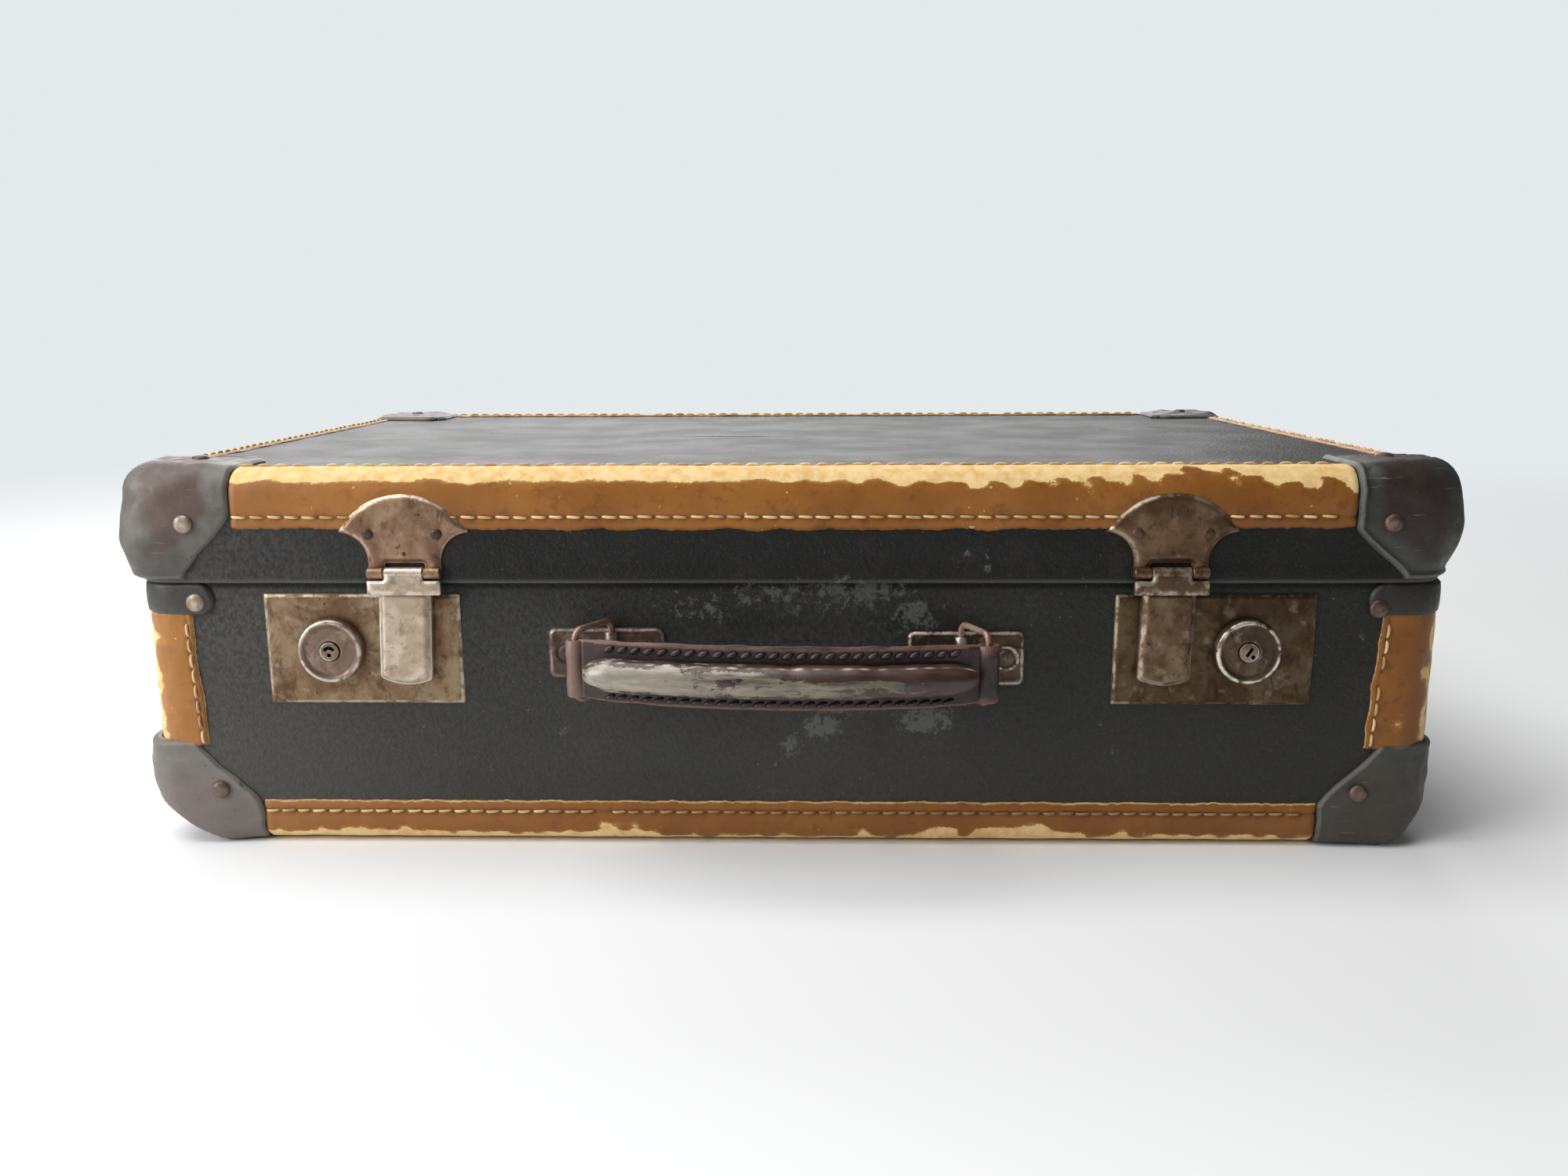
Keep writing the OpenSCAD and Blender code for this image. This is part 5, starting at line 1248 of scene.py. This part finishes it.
# handle plates, each with an embossed ring round its rivets, and a tunnel for the wire ring
hrivets = Soup("edge")
for s, cn in LEFT_RIGHT:
    x, z, w, h, r = s * 67.0, HANDLE_Z + (1.6 if s < 0 else -0.3), 21.8, (9.7 if s < 0 else 10.5), 2.8
    centres = ((w - r, h - r, 0), (r - w, h - r, 90), (r - w, r - h, 180), (w - r, r - h, 270))
    out = [p for cx, cy, a0 in centres for p in arc_points(cx, cy, r, a0, a0 + 90, 9)]

    def embossed(u, v):
        return peak(np.hypot(np.abs(u) - 15, v), 4.3, 0.7)

    v, f, d = plate(resample(out, 0.6),
                    lambda u, v, q: 1.0 - 0.75 * (1 - smooth(q / 1.3)) + 0.35 * peak(q, 1.9, 0.8)
                    + 0.45 * embossed(u, v) + 0.08 * wobble2(u, v, 81 + s, 10),
                    -0.4, 0.9, (0.3, 0.7, 1.2, 1.9, 2.6))
    e = np.maximum(peak(d, 0.9, 0.7) * (0.8 if s < 0 else 1.0),
                   (0.5 if s < 0 else 0.85) * embossed(v[:, 0], v[:, 1]))
    soup = Soup("edge")
    soup.add(front(v, x, WALL_Y, z), f, edge=e)
    v, f = ring_of_revolution([(1.25, -8.3), (2.0, -8.6), (2.3, -8.2), (2.3, 8.2), (2.0, 8.6), (1.25, 8.3)])
    soup.add(v + (s * RING_X, -RING_Y, z), f, edge=0.9)
    for foot in (s * RING_X - 1.9, s * RING_X + 1.9):
        soup.add(*block(foot - 0.45, foot + 0.45, -157.2, -154.9, z - 8.2, z + 8.2), edge=0.3)
    soup.make("handle_plate_skin_" + cn, "base", "worn_steel", "hplate_" + cn, ["handle_plate_" + cn], 40)
    for step in (-15, 15):
        v, f = lathe([(0, -1.5), (1.4, -1.5), (1.4, -0.1), (3.1, -0.1), (3.3, 0.15), (2.9, 0.6), (1.9, 0.85),
                      (0, 0.9)], 28)
        put(hrivets, v, f, (x + step, -WALL_Y - 0.95, z), (0, -1, 0), 0.2)
hrivets.make("handle_plate_rivets_skin", "base", "worn_steel", "hplate_left", ["handle_plate_rivets"], 40)

# wire rings
for s, cn in LEFT_RIGHT:
    h, l, bend = 13.0, 20.0, 3.5
    bends = ((bend, h - bend, 180), (l - bend, h - bend, 90), (l - bend, -h + bend, 0),
             (bend, -h + bend, -90))
    p = resample([q for cx, cz, a0 in bends for q in arc_points(cx, cz, bend, a0, a0 - 90, 9)], 1.0)
    ux, uy = (s * (BAR_X - RING_X) - ASIDE) / l, -(BAR_Y - RING_Y) / l
    z = HANDLE_Z + (1.6 if s < 0 else 0.3)
    path = np.column_stack([s * RING_X + p[:, 0] * ux, -RING_Y + p[:, 0] * uy, z + p[:, 1]])
    v, f = tube(path, 1.15, 14, closed=True)
    make("handle_ring_skin_" + cn, v, f, "ring_" + cn, "worn_steel", "wire", ["handle_ring_" + cn],
         edge=0.25 + 0.2 * wobble(v[:, 2], 5, 9))

# the handle's strap, roll, facing and core
S_END = BOW_R * math.asin(BAR_X / BOW_R)
S_ROLL, ROLL_OUT = 69.6, 4.7


def droop(s):
    """The handle hangs a little lower in its middle, and lower at its right end than at its left."""
    s = np.asarray(s, float) / S_END
    return -0.2 * (1 - s ** 2) - 0.9 * s


def bow_points(s, out, z):
    """Points at a distance s along the handle's bow, a distance out from it, and a height."""
    s, out, z = np.broadcast_arrays(np.asarray(s, float), out, z)
    a, r = s / BOW_R, BOW_R + out
    return np.stack([r * np.sin(a) - ASIDE, BOW_Y - r * np.cos(a), HANDLE_Z + droop(s) + z], -1)


def flat_band(s0, s1, out, t, h, soup, seed):
    """A flat strap along the bow with rounded edges."""
    e = t / 2
    half = [(e, z) for z in np.linspace(-h / 2 + e, h / 2 - e, 22)]
    top, bot = ([(e * math.cos(a), mid + e * math.sin(a)) for a in np.radians(turns)] for mid, turns in (
        (h / 2 - e, (22, 45, 67, 90, 113, 135, 158)), (-h / 2 + e, (202, 225, 247, 270, 293, 315, 338))))
    loop = np.array(half + top + [(-u, z) for u, z in half[::-1]] + bot)
    S, U = np.meshgrid(np.linspace(s0, s1, 120), loop[:, 0], indexing="ij")
    Z = np.broadcast_to(loop[:, 1], S.shape)
    wider = 0.16 * wobble(S, seed, 24) + 0.9 * (1 - (S / S_END) ** 2)
    Z = Z + np.sign(Z) * wider * smooth((np.abs(Z) - h / 2 + 6) / 5)
    soup.add(bow_points(S, out + U, Z).reshape(-1, 3), rod(120, len(loop)), edge=peak(np.abs(Z), h / 2, 0.9))


strap = Soup("edge")
flat_band(-S_END + 1.6, S_END - 1.6, 0, 2.4, 21.6, strap, 91)
for s, hole, wide in ((-1, 1.45, 0.0), (1, 1.8, 0.8)):
    rounded = [(2.9, -10.5), (3.2, -10.1), (3.3, -5), (3.1, 0), (3.3, 5), (3.2, 10.1), (2.9, 10.5)]
    v, f = ring_of_revolution([(hole, -10.2), (hole + 0.3, -10.5)] + [(r + wide, w) for r, w in rounded]
                              + [(hole + 0.3, 10.5), (hole, 10.2)])
    at = (s * BAR_X - ASIDE, -BAR_Y, HANDLE_Z + float(droop(s * S_END)))
    # the left loop is paler all over: partly rubbed, partly a painted highlight
    strap.add(v + at, f, edge=0.7 * peak(np.abs(v[:, 2]), 10.2, 0.8) + (0.75 if s < 0 else 0.2))
strap.make("handle_strap_skin", "handle", "handle_leather", "strap", ["handle_strap"], 50)

roll = Soup("wear", "edge")
steps = np.array([0, 0.25, 0.7, 1.3, 2.1, 3.1, 4.4, 6.0, 8.0])
s = np.concatenate([steps - S_ROLL, np.linspace(-S_ROLL + 10, S_ROLL - 10, 90), (S_ROLL - steps)[::-1]])
body = np.sqrt(np.clip(1 - (1 - np.clip((S_ROLL - np.abs(s)) / 9.0, 0, 1)) ** 2, 0, 1))
radius = 6.15 * (0.12 + 0.88 * body) * (1 + 0.02 * wobble(s, 95, 30))
radius *= 1 - np.where(s < 0, 0.05, 0.13) * (s / S_ROLL) ** 2
for scale, squeeze, outside in ((1.0, 1, 1), (0.8, 0.985, 0)):
    S, turn = np.meshgrid(s * squeeze, np.linspace(0, 2 * PI, 40, endpoint=False), indexing="ij")
    crease = 0.22 * peak(np.sin(S * 0.23 + 0.7 * np.sin(turn)), 1, 0.25)
    crease = crease * smooth((S_ROLL - 12 - np.abs(S)) / 10)
    size = radius[:, None] * scale + outside * (0.12 * wobble2(S, turn * 6, 96, 14) - crease)
    high = np.sin(turn)
    wear = 0.74 - 0.5 * smooth((high - 0.15) / 0.35) * smooth((S + 14) / 34) - 0.34 * smooth((S - 44) / 14)
    # less worn along the top; the underside kept brown and dark as painted shade
    wear = wear - 0.28 * smooth((high - 0.6) / 0.25) - 0.3 * smooth((-0.55 - high) / 0.3)
    wear = np.where(np.cos(turn) < -0.2, 0.15, wear)
    p = bow_points(S, ROLL_OUT + size * np.cos(turn), size * high - 0.3)
    # edge: a painted highlight line along the roll's top
    roll.add(p.reshape(-1, 3), rod(len(s), 40), wear=wear,
             edge=0.9 * peak(turn, 1.15, 0.13) * (0.6 + 0.4 * wobble(S, 97, 12)))
roll.make("handle_roll_skin", "handle", "roll_leather", "roll", ["handle_cover"], 60)
facing = Soup("edge")
flat_band(-66.5, 66.5, 1.75, 1.1, 21.2, facing, 92)
facing.make("handle_facing_skin", "handle", "handle_leather", "strap", sharp=50)
s = np.linspace(-58, 58, 60)
v, f = tube(bow_points(s, ROLL_OUT, 0.0), 4.7 * np.sqrt(np.clip(1 - (np.abs(s) / 59) ** 8, 0.1, 1)), 24)
make("handle_core_skin", v, f, "handle", "paper_cord", "thread", ["handle_core"])

# slanted stitches along both edges of the facing
lumps = Soup("tone")
g = np.random.default_rng(99)
t = np.linspace(0, 1, 7)
for z, pitch, r in ((-9.0, 4.4, 0.85), (8.5, 4.9, 1.15)):
    s = -61.0
    while s < 62.0:
        p = bow_points(s + 3.5 * (t - 0.5), 2.2 + 0.7 * np.sin(PI * t) ** 0.7, z + 1.5 * (t - 0.5))
        lumps.add(*tube(p, r * (0.6 + 0.4 * np.sin(PI * t)), 9), tone=g.random())
        s += pitch + g.normal(0, 0.15)
lumps.make("handle_stitches_skin", "handle", "handle_leather", "dark_thread")

# bolt springs, in the box of their CAD solids
SPRING_T, SPRING_TURN = 0.5, 1.1
for s, cn in LEFT_RIGHT:
    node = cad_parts["lock_spring_" + cn].data
    box = np.array([v.co[:] for v in node.vertices]) * 1000 - (0, CASE_Y, 0)
    lo, hi = box.min(0), box.max(0)
    half, top, t = (hi[0] - lo[0]) / 2, hi[2] - lo[2], SPRING_T / 2
    lean = math.atan2(half - t, top)
    turn = np.linspace(PI - lean, lean, 13)
    arc = np.column_stack([SPRING_TURN * np.cos(turn), top - t + SPRING_TURN * (np.sin(turn) - 1)])
    line = np.concatenate([np.linspace((t - half, 0.0), arc[0], 8)[:-1], arc,
                           np.linspace(arc[-1], (half - t, 0.0), 8)[1:]])
    along = np.gradient(line, axis=0)
    along /= np.linalg.norm(along, axis=1, keepdims=True)
    w, c = (hi[1] - lo[1]) / 2, 0.12
    section = [(t - c, -w), (t, c - w), (t, w - c), (t - c, w), (c - t, w), (-t, w - c), (-t, c - w),
               (c - t, -w)]
    verts = [(p[0] - d[1] * a, b, p[1] + d[0] * a) for p, d in zip(line, along) for a, b in section]
    verts = np.array(verts) + ((lo[0] + hi[0]) / 2, (lo[1] + hi[1]) / 2, lo[2])
    ob = make("lock_spring_skin_" + cn, verts, rod(len(line), len(section)), "base", "lock_steel", "hidden",
              ["lock_spring_" + cn], 30)
    anchor = (s * max(abs(lo[0]), abs(hi[0])) / 1000, 0, LOCK_Z / 1000)
    1 - KNOB_TRAVEL / (2 * half)
    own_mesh(ob)

# CAD nodes that stay, in their own finish
FINISH = {"inner_lip": "board", "lid_lining": "lining", "hinge_pins": "hidden", "hasp_pins": "hidden"}
for part in ("lock_case", "lock_bolt", "hinge_lower", "hinge_upper"):
    FINISH.update({f"{part}_{cn}": "hidden" for _, cn in LEFT_RIGHT})
for node, key in FINISH.items():
    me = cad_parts[node].data
    me.materials.clear()
    me.materials.append(M[key])


# stage, light and camera
def floor_material():
    """A pale floor that fades into the background round the case."""
    mat = bpy.data.materials.new("floor_white")
    mat.use_nodes = True
    tree = mat.node_tree
    tree.nodes.clear()
    pale = field(tree, "BsdfPrincipled", {"Base Color": (0.86, 0.865, 0.87, 1), "Roughness": 0.9,
                                          "Specular IOR Level": 0.1})
    place = field(tree, "TexCoord", out="Object")
    far = field(tree, "VectorMath", {0: place}, "Value", operation="LENGTH").span(0.55, 1.7)
    mixed = field(tree, "MixShader", {0: far, 1: pale, 2: field(tree, "BsdfTransparent")})
    field(tree, "OutputMaterial", {0: mixed})
    return mat


me = bpy.data.meshes.new("floor")
me.from_pydata([(-3, -3, 0), (3, -3, 0), (3, 3, 0), (-3, 3, 0)], [], [(0, 1, 2, 3)])
me.materials.append(floor_material())
floor = bpy.data.objects.new("floor", me)
bpy.context.scene.collection.objects.link(floor)

world = bpy.data.worlds.new("studio")
bpy.context.scene.world = world
world.use_nodes = True
world.node_tree.nodes.clear()
lit = field(world.node_tree, "Background", {"Color": (1.0, 0.995, 0.985, 1), "Strength": 0.12})
seen = field(world.node_tree, "Background", {"Color": (0.78, 0.82, 0.845, 1), "Strength": 1.0})
by_camera = field(world.node_tree, "LightPath", out="Is Camera Ray")
both = field(world.node_tree, "MixShader", {0: by_camera, 1: lit, 2: seen})
field(world.node_tree, "OutputWorld", {0: both})


def area_light(name, at, aim, size, power):
    data = bpy.data.lights.new(name, "AREA")
    data.shape, data.size, data.energy = "SQUARE", size, power
    ob = bpy.data.objects.new(name, data)
    ob.location = at
    ob.rotation_euler = (Vector(aim) - Vector(at)).to_track_quat("-Z", "Y").to_euler()
    ob.visible_camera = False
    bpy.context.scene.collection.objects.link(ob)


area_light("key", (-0.95, -0.62, 0.46), (-0.15, -0.15, 0.07), 0.6, 8.2)
area_light("top", (-0.62, -0.25, 1.6), (-0.05, -0.2, 0), 1.5, 27)
area_light("behind", (-0.42, 2.4, 0.85), (0, 0, 0.14), 3.0, 82)

# the camera as fitted to the photo: its place, its turns in radians and its lens
CAMERA_AT, YAW, PITCH, ROLL, LENS = (0.0103, -0.5988, 0.1932), -0.0236, 0.1988, -0.0045, 29.12
fwd = Vector((math.sin(YAW) * math.cos(PITCH), math.cos(YAW) * math.cos(PITCH), -math.sin(PITCH)))
level = Vector((math.cos(YAW), -math.sin(YAW), 0))
upright = level.cross(fwd)
right = level * math.cos(ROLL) + upright * math.sin(ROLL)
up = -level * math.sin(ROLL) + upright * math.cos(ROLL)
cam = bpy.data.cameras.new("camera")
cam.sensor_width, cam.lens, cam.clip_start = 36.0, LENS, 0.02
cam_ob = bpy.data.objects.new("camera", cam)
cam_ob.matrix_world = Matrix.Translation(CAMERA_AT) @ Matrix((right, up, -fwd)).transposed().to_4x4()
bpy.context.scene.collection.objects.link(cam_ob)
bpy.context.scene.camera = cam_ob

bpy.context.scene.view_settings.view_transform = "Standard"
bpy.context.scene.view_settings.look = "None"
